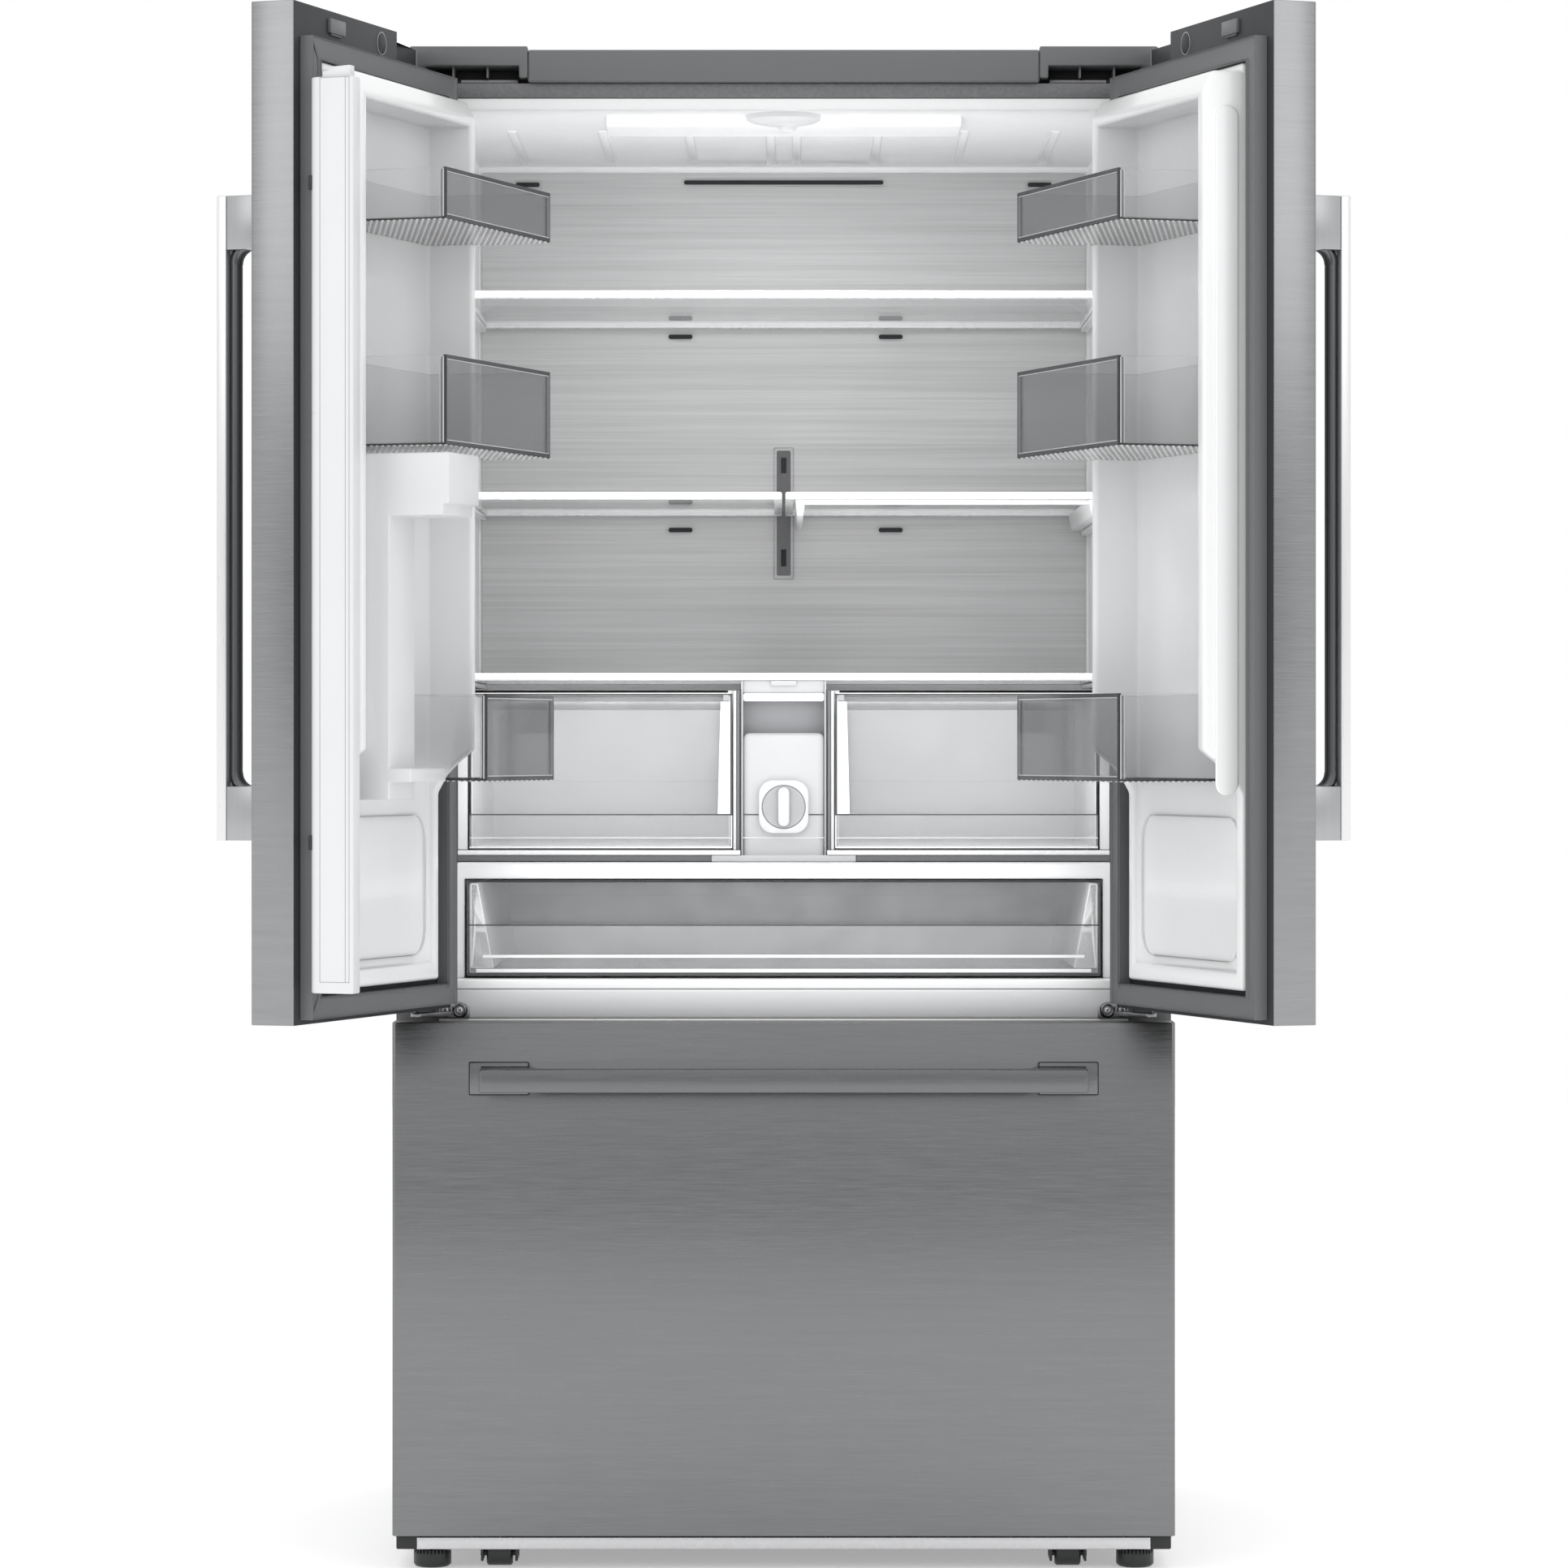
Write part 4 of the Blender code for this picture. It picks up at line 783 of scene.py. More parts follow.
    def piece(self, name: str, body: str, finish: Finish, stands_for: Iterable[str] = (),
              crease: float = 32.0) -> bpy.types.Object:
        """Makes the shape one piece of the refrigerator.

        Args:
            name: the piece's name.
            body: the CAD body that it rides on.
            finish: what it is made of.
            stands_for: the CAD nodes that it replaces.
            crease: edges that turn more than this stay sharp, in degrees.

        Returns:
            The piece.
        """
        for face in self.bm.faces:
            face.smooth = True
        for edge in self.bm.edges:
            edge.smooth = edge.is_manifold and edge.calc_face_angle(0.0) < radians(crease)
        mesh = bpy.data.meshes.new(name)
        self.bm.to_mesh(mesh)
        self.bm.free()
        made = bpy.data.objects.new(name, mesh)
        bpy.context.scene.collection.objects.link(made)
        made.data.materials.append(finish.material())
        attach(made, body)
        if stands_for:
            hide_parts(*stands_for)
        log.info("%s: %d faces in %s", name, len(mesh.polygons), finish.name)
        return made


def dress(node: str, finish: Finish) -> None:
    """Gives a CAD node that stays its finish.

    Args:
        node: the node's name.
        finish: what it is made of.
    """
    thing = frame["nodes"][node]
    thing.data.materials.clear()
    thing.data.materials.append(finish.material())
    log.info("%s keeps its shape, in %s", node, finish.name)


def soft_copy(node: str, body: str, finish: Finish, soft: float, segments: int = 2,
              angle: float = 25.0) -> bpy.types.Object:
    """Replaces a CAD node with a copy whose edges are soft.

    Args:
        node: the node's name.
        body: the body that it rides on.
        finish: what it is made of.
        soft: width of the rounding.
        segments: across the rounding.
        angle: of the least edge that is rounded.

    Returns:
        The piece.
    """
    return Shape().copy(node, soft, segments, angle).piece(f"{node}_soft", body, finish, [node])


# ---- the studio -------------------------------------------------------------------------------
@dataclass
class Studio:
    """A white floor, a pale sky that is dimmer behind the camera, soft lamps and the camera."""

    distance: float = 6.4
    eye: float = 0.963
    lens: float = 126.75
    floor_size: float = 16.0

    def build(self) -> None:
        """Makes the whole studio."""
        self.floor()
        self.sky()
        self.lamps()
        self.camera()

    def floor(self) -> None:
        """A wide pale floor."""
        part = bmesh.new()
        bmesh.ops.create_grid(part, x_segments=2, y_segments=2, size=self.floor_size / 2)
        mesh = bpy.data.meshes.new("floor")
        part.to_mesh(mesh)
        part.free()
        floor = bpy.data.objects.new("floor", mesh)
        bpy.context.scene.collection.objects.link(floor)
        shader = Shader("floor white")
        shader.feed(shader.surface, {
            "Base Color": shader.shade((0.9, 0.9, 0.9), shader.noise(0.8), 0.02),
            "Roughness": 0.7, "Emission Color": (1, 1, 1, 1), "Emission Strength": 0.35})
        mesh.materials.append(shader.material)

    def sky(self) -> None:
        """A white world with a dim patch behind the camera, lighter upwards, for the metal to mirror."""
        world = bpy.data.worlds.new("studio")
        bpy.context.scene.world = world
        shader = Shader("studio", world)
        view = shader.node("ShaderNodeTexCoord").outputs["Generated"]
        parts = shader.node("ShaderNodeSeparateXYZ", {}, {0: view})
        patch = shader.ramp(Value(shader, parts.outputs[1]) * -1.0, [(0.66, (0, 0, 0)), (0.93, (1, 1, 1))])
        level = shader.ramp(Value(shader, parts.outputs[2]) * 2.5 + 0.5,
                            [(0.30, (0.50,) * 3), (0.50, (0.46,) * 3), (0.62, (0.66,) * 3),
                             (0.80, (1.0,) * 3)])
        light = shader.mix(patch, (1.0, 1.0, 1.0), level)
        back = shader.node("ShaderNodeBackground", {}, {"Color": light})
        out = shader.node("ShaderNodeOutputWorld")
        shader.tree.links.new(back.outputs[0], out.inputs[0])

    def lamp(self, name: str, place: Sequence[float], target: Sequence[float],
             size: tuple[float, float], power: float, hidden: bool = True) -> None:
        """One soft rectangular lamp.

        Args:
            name: its name.
            place: where it hangs.
            target: where it points.
            size: its width and height.
            power: in watts.
            hidden: whether gloss and the camera miss it.
        """
        data = bpy.data.lights.new(name, "AREA")
        data.shape = "RECTANGLE"
        data.size, data.size_y, data.energy = *size, power
        thing = bpy.data.objects.new(name, data)
        bpy.context.scene.collection.objects.link(thing)
        thing.location = place
        thing.rotation_euler = (Vector(target) - Vector(place)).to_track_quat("-Z", "Y").to_euler()
        thing.visible_camera = False
        thing.visible_glossy = not hidden

    def lamps(self) -> None:
        """Soft lamps before the refrigerator, and the light of its own compartment."""
        self.lamp("left softbox", (-3.2, -4.2, 3.2), (0, 0, 1.6), (2.4, 2.4), 18.0, False)
        self.lamp("right softbox", (3.2, -4.2, 3.2), (0, 0, 1.6), (2.4, 2.4), 18.0, False)
        inner = Extent.of("fridge_liner")
        y = inner.low.y
        self.lamp("compartment fill", (0, y - 0.02, 1.18), (0, y + 1.0, 1.15), (0.70, 0.98), 2.1)
        self.lamp("ceiling light", (0, y + 0.14, inner.high.z - 0.030), (0, y + 0.36, 1.0),
                  (0.40, 0.10), 2.1)
        self.lamp("crisper light", (0, y + 0.16, 1.030), (0, y + 0.50, 0.80), (0.70, 0.05), 0.40)

    def camera(self) -> None:
        """The camera, level and square to the fronts."""
        data = bpy.data.cameras.new("camera")
        data.lens, data.sensor_width = self.lens, 36.0
        data.shift_x, data.shift_y = 0.0002, -0.0264
        data.clip_end = 200.0
        thing = bpy.data.objects.new("camera", data)
        bpy.context.scene.collection.objects.link(thing)
        thing.location = (0, Extent.of("drawer_skin").low.y - self.distance, self.eye)
        thing.rotation_euler = (radians(90), 0, 0)
        bpy.context.scene.camera = thing
        bpy.context.scene.view_settings.view_transform = "Standard"


# ---- the case ---------------------------------------------------------------------------------
@dataclass
class Case:
    """The outer case, its top trim, hinge hoods, base and machine space."""

    edge: float = 0.0012
    flange_depth: float = 0.0016
    screw: float = 0.0042

    def build(self) -> None:
        """Makes every piece of the case."""
        for node in ("side_panel_left", "side_panel_right", "top_panel", "back_panel"):
            soft_copy(node, "cabinet", CASE_PAINT, self.edge * 0.4)
        dress("insulation", FOAM)
        soft_copy("base_plate", "cabinet", BLACK_PLASTIC, 0.0006)
        soft_copy("top_trim", "cabinet", DARK_PLASTIC, 0.0018, 3)
        self.flange()
        self.hoods()
        self.rear()
        self.compressor()

    def flange(self) -> None:
        """The grained strip between the top trim and the compartment."""
        top = Extent.of("top_panel")
        liner = Extent.of("fridge_liner")
        y = top.low.y
        strip = Shape().block((-0.4035, y - self.flange_depth, liner.high.z + 0.0006),
                              (0.4035, y - SKIN, top.high.z - 0.0002), 0.0006)
        strip.piece("top_flange_grain", "cabinet", FLANGE_GRAIN)

    def hoods(self) -> None:
        """The two hinge hoods, with ribs in their mouths."""
        for name, side in (("left", -1), ("right", 1)):
            node = f"hinge_cover_{name}"
            soft_copy(node, "cabinet", DARK_PLASTIC, 0.0016, 3)
            box = Extent.of(node)
            inner, outer = sorted((abs(box.low.x), abs(box.high.x)))
            mouth = Shape()
            roof = box.high.z - 0.0225
            for share in (0.30, 0.62, 0.88):
                x = side * (inner + 0.010 + share * (outer - inner - 0.014))
                mouth.block((x - 0.0012, box.low.y + 0.012, box.low.z + 0.001),
                            (x + 0.0012, box.low.y + 0.0535, roof - 0.0002), 0.0005)
            mouth.piece(f"hood_ribs_{name}", "cabinet", DARK_PLASTIC)
            # A near-black sheet at the back of each hood's mouth: painted shade.
            lining = Shape().block((side * (inner + 0.0105), box.low.y + 0.0520, box.low.z + 0.001),
                                   (side * (outer - 0.004), box.low.y + 0.0545, roof - 0.0003), 0.0004)
            lining.piece(f"hood_mouth_shade_{name}", "cabinet", HOLLOW_SHADE)

    def rear(self) -> None:
        """The louvred cover of the machine space and the screws of the back sheet."""
        back = Extent.of("back_panel")
        base = Extent.of("base_plate")
        y = back.high.y
        cover = Shape()
        low, high = base.high.z + 0.012, back.low.z - 0.006
        cover.block((-0.440, y - 0.0060, low), (0.440, y - 0.0040, high), 0.0006)
        for row in range(9):
            z = low + 0.030 + row * (high - low - 0.06) / 8
            for span in ((-0.40, -0.15), (-0.12, 0.12), (0.15, 0.40)):
                cover.prism([(y - 0.0045, z - 0.004), (y - 0.0008, z - 0.004), (y - 0.0045, z + 0.005)],
                            Along.X, span[0], span[1], 0.0004)
        cover.piece("machine_cover", "cabinet", CASE_PAINT)
        screws = Shape()
        for x in (-0.43, -0.15, 0.15, 0.43):
            for z in (back.low.z + 0.02, 1.0, back.high.z - 0.02):
                screws.turned([(0, 0), (self.screw, 0), (self.screw, 0.0006), (0.0022, 0.0014),
                               (0, 0.0015)], (x, y + 0.0001, z), Along.Y, 16)
        screws.piece("back_screws", "cabinet", PLATED)

    def compressor(self) -> None:
        """The compressor can with its weld band and terminal box."""
        can = Extent.of("compressor")
        dress("compressor", ENAMEL)
        centre = (can.low + can.high) / 2
        radius = (can.high.x - can.low.x) / 2 - 0.012
        band = Shape()
        band.turned([(radius - 0.002, -0.004), (radius + 0.0025, -0.003), (radius + 0.0025, 0.003),
                     (radius - 0.002, 0.004)], (centre.x, centre.y, can.low.z + 0.085), Along.Z, 40)
        band.block((can.low.x - 0.020, centre.y - 0.030, can.low.z + 0.050),
                   (can.low.x + 0.016, centre.y + 0.030, can.low.z + 0.110), 0.004, 3)
        band.piece("compressor_band", "cabinet", BLACK_PLASTIC)


@dataclass
class Hinges:
    """The upper and the middle hinges, with their screws and washers."""

    screw: float = 0.0075
    plate: float = 0.0096
    places: tuple[float, float] = (0.3792, 0.3962)

    def build(self) -> None:
        """Makes the hinges of both sides."""
        for name in ("left", "right"):
            soft_copy(f"top_hinge_{name}", "cabinet", DARK_STEEL, 0.0006)
            soft_copy(f"middle_hinge_{name}", "cabinet", HINGE_STEEL, 0.0008)
            self.screws(name)

    def screws(self, name: str) -> None:
        """The round end of a middle hinge's plate, with two washers and screws.

        Args:
            name: the side's name.
        """
        box = Extent.of(f"middle_hinge_{name}")
        side = -1 if name == "left" else 1
        front = box.high.y - 0.0035
        mid = (box.low.z + 0.0015 + box.high.z) / 2 - 0.0035
        heads, slots = Shape(), Shape()
        r = self.screw
        plate = Shape()
        plate.turned([(0, 0.0030), (self.plate, 0.0030), (self.plate, 0.0006), (self.plate - 0.0006, 0.0),
                      (0, 0.0)], (side * self.places[0], front, mid), Along.Y, 48)
        plate.piece(f"hinge_plate_{name}", "cabinet", HINGE_STEEL)
        rings = Shape()
        for x in self.places:
            place = (side * x, front, mid)
            rings.turned([(r, 0.0004), (r, -0.0010), (r - 0.0010, -0.0015), (r - 0.0020, -0.0012),
                          (r - 0.0024, -0.0004), (0, -0.0004)], place, Along.Y, 36)
            heads.turned([(0, 0.0), (r * 0.5, 0.0), (r * 0.5, -0.0018), (r * 0.4, -0.0026), (0, -0.0030)],
                         place, Along.Y, 28)
            for turn in (35, 125):
                spin = Matrix.Translation(place) @ Matrix.Rotation(radians(turn), 4, "Y")
                slots.matrix = spin
                slots.block((-0.0022, -0.0033, -0.0005), (0.0022, -0.0024, 0.0005), 0.0002)
        slots.matrix = Matrix.Identity(4)
        rings.piece(f"hinge_washers_{name}", "cabinet", DARK_STEEL)
        heads.piece(f"hinge_screws_{name}", "cabinet", PLATED)
        # The near-black screw slots are painted shade.
        slots.piece(f"hinge_screw_slots_{name}", "cabinet", HOLLOW_SHADE)


# ---- inside the fresh food compartment --------------------------------------------------------
@dataclass
class Compartment:
    """The white liner with its ceiling lamp, ribs and shelf ledges."""

    lamp_half: float = 0.211
    lamp_start: float = 0.137
    lamp_end: float = 0.267
    dome_half: float = 0.044
    dome_back: float = 0.1295
    rib_places: tuple[float, ...] = (0.33, 0.22, 0.115, 0.016)
    wall: float = 0.393

    def build(self) -> None:
        """Makes the liner and what is fixed to its ceiling and walls."""
        soft_copy("fridge_liner", "cabinet", WHITE_PLASTIC, 0.005, 4)
        soft_copy("freezer_liner", "cabinet", WHITE_PLASTIC, 0.006, 3)
        soft_copy("crossbar", "cabinet", BRIGHT_PLASTIC, 0.0035, 3)
        self.ceiling()
        self.ledges()

    def ceiling(self) -> None:
        """The lit diffuser, the small dome before it and the moulded ribs."""
        liner = Extent.of("fridge_liner")
        front = Extent.of("drawer_skin").low.y
        roof = Extent.of("cooling_plate").high.z + 0.008
        y0, y1 = front + self.lamp_start, front + self.lamp_end
        lamp = Shape()
        side = [(y0 - 0.004, roof + 0.001), (y0 + 0.012, roof - 0.0115), (y1 - 0.010, roof - 0.0115),
                (y1 + 0.004, roof + 0.001)]
        lamp.prism(side, Along.X, -self.lamp_half, self.lamp_half, 0.003, 3)
        lamp.piece("ceiling_diffuser", "cabinet", LAMP)
        dome = Shape()
        r = self.dome_half
        y = front + self.dome_back
        dome.turned([(0, 0.001), (r, 0.001), (r, -0.006), (r * 0.85, -0.0095), (r * 0.45, -0.0128),
                     (0, -0.0140)], (0, y, roof), Along.Z, 48)
        dome.turned([(0, -0.012), (0.010, -0.013), (0.010, -0.018), (0.006, -0.020), (0, -0.0205)],
                    (0.004, y, roof), Along.Z, 24)
        dome.piece("ceiling_dome", "cabinet", BRIGHT_PLASTIC)
        ribs = Shape()
        for x in (side * out for side in (-1, 1) for out in self.rib_places):
            ribs.prism(rounded(x - 0.006, y1 + 0.03, x + 0.006, liner.high.y - 0.05, 0.005), Along.Z,
                       roof - 0.0018, roof + 0.001, 0.0008, 2, 50)
        ribs.piece("ceiling_ribs", "cabinet", WHITE_PLASTIC)

    def ledges(self) -> None:
        """The ledges on both walls that the shelves rest on."""
        ledge = Shape()
        for node in ("shelf_top", "shelf_left", "shelf_right", "crisper_cover"):
            box = Extent.of(node)
            for side in (-1, 1):
                if (node, side) in (("shelf_left", 1), ("shelf_right", -1)):
                    continue
                x = side * self.wall
                ledge.block((x - 0.0012, box.low.y + 0.02, box.low.z - 0.006),
                            (x - side * 0.011, box.high.y - 0.02, box.low.z - SKIN), 0.0015)
        ledge.piece("shelf_ledges", "cabinet", WHITE_PLASTIC)


@dataclass
class CoolingPlate:
    """The brushed plate on the back wall, with its air slots and the shelf track."""

    track_half: float = 0.0125
    track_rise: tuple[float, float] = (1.174, 1.343)
    holes: tuple[tuple[float, float], ...] = ((1.310, 1.330), (1.190, 1.212))
    long_slot: tuple[float, float, float, float] = (0.0, 1.685, 0.1285, 0.0028)
    short_slot: tuple[float, float] = (0.0155, 0.003)
    slot_rows: tuple[float, ...] = (1.510, 1.486, 1.273, 1.237)
    upper_slots: tuple[float, float] = (0.330, 1.682)

    def build(self) -> None:
        """Makes the plate, the slots and the track."""
        soft_copy("cooling_plate", "cabinet", COOLING_METAL, 0.0008)
        plate = Extent.of("cooling_plate")
        self.face = plate.high.y - 0.0032
        self.slots()
        self.track()

    def slots(self) -> None:
        """Long and short air slots: a pale bezel round a dark slot, whose near-black fill is painted shade.
        """
        bezels, dark = Shape(), Shape()
        places = [self.long_slot]
        places += [(x, z, *self.short_slot) for z in self.slot_rows for x in (-0.133, 0.138)]
        out, z = self.upper_slots
        places += [(x, z, *self.short_slot) for x in (-out, out)]
        y = self.face
        for x, z, half, tall in places:
            bezels.ring(rounded(x - half - 0.002, z - tall - 0.002, x + half + 0.002, z + tall + 0.002,
                                tall + 0.001), Along.Y, y - 0.0012, y - SKIN * 0.3, 0.002, 0.0004)
            dark.prism(rounded(x - half, z - tall, x + half, z + tall, tall * 0.9), Along.Y,
                       y - 0.0006, y - SKIN * 0.3)
        bezels.piece("air_slot_bezels", "cabinet", COOLING_METAL)
        dark.piece("air_slots", "cabinet", HOLLOW_SHADE)

    def track(self) -> None:
        """The upright track that holds the middle shelves, with its two hooks."""
        box = Extent.of("cooling_plate")
        y = box.low.y
        w = self.track_half
        low, high = self.track_rise
        edging = Shape().ring(rounded(-w, low, w, high, 0.003), Along.Y, y - 0.0016, y - SKIN * 0.3,
                              0.0028, 0.0005)
        edging.piece("track_frame", "cabinet", SEAM_GREY)
        slot = Shape()
        slot.prism(rounded(-w + 0.0035, low + 0.004, w - 0.0035, high - 0.004, 0.002), Along.Y,
                   y - 0.0008, y - SKIN * 0.3)
        slot.piece("track_slot", "cabinet", DARK_STEEL)
        # The two hook holes are near-black blocks: painted shade.
        hooks = Shape()
        for z0, z1 in self.holes:
            hooks.block((-0.0035, y - 0.0016, z0), (0.0035, y - 0.0006, z1), 0.0008)
        hooks.piece("track_holes", "cabinet", HOLLOW_SHADE)


@dataclass
class Shelf:
    """One glass shelf in its white frame."""

    node: str
    front: float = 0.020
    rim: float = 0.010
    glass: float = 0.004

    def build(self) -> None:
        """Makes the frame and the glass."""
        box = Extent.of(self.node)
        x0, x1 = box.low.x, box.high.x
        y0, y1 = box.low.y, box.high.y
        z1 = box.high.z
        z0 = z1 - 0.009
        border = Shape()
        border.block((x0, y0, z0), (x1, y0 + self.front, z1), 0.0025, 3)
        border.block((x0, y1 - self.rim * 1.6, z0), (x1, y1, z1), 0.002)
        for a, b in ((x0, x0 + self.rim), (x1 - self.rim, x1)):
            border.block((a, y0 + self.front - 0.002, z0 + 0.001), (b, y1 - 0.010, z1 - 0.001), 0.0015)
        border.piece(f"{self.node}_frame", "cabinet", RIM_WHITE, [self.node])
        mid = (z0 + z1) / 2
        pane = Shape().block((x0 + self.rim - 0.001, y0 + self.front - 0.001, mid - self.glass / 2),
                             (x1 - self.rim + 0.001, y1 - self.rim * 1.6 + 0.001, mid + self.glass / 2),
                             0.0003)
        pane.piece(f"{self.node}_glass", "cabinet", SHELF_GLASS)


@dataclass
class RightShelf(Shelf):
    """The sliding half shelf, with the rails and the bracket below it."""

    rail: float = 0.0195

    def build(self) -> None:
        """Makes the shelf and its runners."""
        super().build()
        box = Extent.of(self.node)
        rails = Shape()
        top = box.high.z - 0.009
        for x, wide in ((box.low.x + 0.012, 0.012), (box.high.x - 0.026, 0.024)):
            rails.prism([(x, top), (x + wide, top), (x + wide * 0.8, top - self.rail),
                         (x + wide * 0.2, top - self.rail)], Along.Y, box.low.y + 0.004,
                        box.high.y - 0.02, 0.0015)
        rails.block((box.low.x + 0.02, box.low.y + 0.008, top - 0.006),
                    (box.high.x - 0.02, box.low.y + 0.020, top), 0.0015)
        rails.piece("shelf_right_rails", "cabinet", WHITE_PLASTIC)


@dataclass
class Drawer:
    """A crisper: a milky box, a pale rim, a grip line, a clear lip and a tapering side strip."""

    node: str
    body: str
    lined: Finish = MILKY
    rimmed: Finish = RIM_WHITE
    rim_size: tuple[float, float, float] = (0.0032, 0.0052, 0.0008)
    corner: float = 0.006
    rear_drop: float = 0.020
    grip: float = 0.8768
    lip_line: float = 0.8484
    inset: float = 0.0015

    def build(self) -> None:
        """Makes the tray, its lining and its front's mouldings."""
        box = Extent.of(self.node)
        Shape().copy(self.node, 0.0022, 3).piece(f"{self.node}_tray", self.body, FROSTED, [self.node])
        self.lining(box)
        self.rim(box)
        self.front(box)

    def rim(self, box: Extent) -> None:
        """The rim round the top.

        Args:
            box: the drawer's extent.
        """
        tall, wide, soft = self.rim_size
        outline = rounded(box.low.x - SKIN, box.low.y - SKIN, box.high.x + SKIN, box.high.y + SKIN,
                          self.corner)
        rim = Shape().ring(outline, Along.Z, box.high.z - tall, box.high.z + SKIN, wide, soft)
        rim.piece(f"{self.node}_rim", self.body, self.rimmed)

    def lining(self, box: Extent) -> None:
        """The milky inner side of the floor and walls, with a shaded band at the top of the rear.

        Args:
            box: the drawer's extent.
        """
        x0, x1 = box.low.x + 0.0034, box.high.x - 0.0034
        y0, y1 = box.low.y + 0.0040, box.high.y - 0.0034
        z0, z1 = box.low.z + 0.0034, box.high.z - self.rear_drop
        lining = Shape()
        lining.block((x0, y1 - 0.0014, z0), (x1, y1, z1), 0.0004)
        lining.block((x0, y0, z0), (x1, y1, z0 + 0.0012), 0.0004)
        for a, b in ((x0, x0 + 0.0012), (x1 - 0.0012, x1)):
            lining.block((a, y0, z0), (b, y1, box.high.z - 0.006), 0.0004)
        lining.block((x0 + 0.01, y1 - 0.0022, z0 + 0.075), (x1 - 0.01, y1 - 0.0012, z0 + 0.0765), 0.0003)
        lining.piece(f"{self.node}_lining", self.body, self.lined)
        band = Shape().block((x0, y1 - 0.0012, z1 + SKIN), (x1, y1, box.high.z - 0.004), 0.0004)
        band.piece(f"{self.node}_rear_band", self.body, BAND_GREY)

    def front(self, box: Extent) -> None:
        """The grip line, the lip under it, the dark edge and the side strip.

        Args:
            box: the drawer's extent.
        """
        y, foot, top_z = box.low.y, box.low.z, box.high.z
        side = -1 if box.low.x < 0 else 1
        edge = min(abs(box.low.x), abs(box.high.x))
        x0, x1 = box.low.x + self.inset, box.high.x - self.inset
        across = (x0, x1)
        dark, pale, lip, strip = Shape(), Shape(), Shape(), Shape()
        self.line(dark, y, across, (self.grip - 0.0008, self.grip + 0.0008), 0.0013)
        self.line(dark, y, (side * (edge + 0.0006), side * (edge + 0.0027)),
                  (self.grip, top_z - 0.003), 0.0013)
        self.line(dark, y, across, (top_z - 0.0046, top_z - 0.0036), 0.0011, 0.0002)
        self.line(dark, y, across, (foot + 0.0001, foot + 0.0012), 0.0011, 0.0002)
        dark.piece(f"{self.node}_lines", self.body, FROSTED_RIM)
        for z, tall in ((self.lip_line, 0.0011), (foot + 0.0016, 0.0022), (top_z - 0.0034, 0.0010)):
            self.line(pale, y, across, (z, z + tall), 0.0015)
        self.line(pale, y, (side * (edge + 0.0006), side * (edge + 0.0022)),
                  (foot + 0.002, self.grip - 0.001), 0.0014)
        pale.piece(f"{self.node}_bright_lines", self.body, RIM_WHITE)
        lip.block((x0, y - 0.0008, foot + 0.0020), (x1, y - 0.0002, self.grip - 0.001), 0.0002)
        lip.piece(f"{self.node}_lip", self.body, LIP_CLEAR)
        near, top, low = edge + 0.0030, edge + 0.0145, edge + 0.0180
        strip.prism([(side * near, self.grip + 0.001), (side * low, self.grip + 0.001),
                     (side * top, top_z - 0.013), (side * near, top_z - 0.013)], Along.Y, y - 0.0010,
                    y - SKIN, 0.0003)
        strip.piece(f"{self.node}_strip", self.body, WHITE_PLASTIC)
        tab = Shape()
        self.line(tab, y, (side * (edge + 0.0045), side * (edge + 0.0115)),
                  (top_z - 0.0120, top_z - 0.0048), 0.0011, 0.0004)
        tab.piece(f"{self.node}_tab", self.body, SEAM_GREY)

    @staticmethod
    def line(shape: Shape, y: float, across: tuple[float, float], rise: tuple[float, float], proud: float,
             soft: float = 0.0003) -> None:
        """Adds a flat moulding to the front.

        Args:
            shape: where it is added.
            y: the front's face.
            across: X of its two sides.
            rise: Z of its foot and its top.
            proud: how far it stands out.
            soft: width of its edges' rounding.
        """
        shape.block((across[0], y - proud, rise[0]), (across[1], y - SKIN, rise[1]), soft)


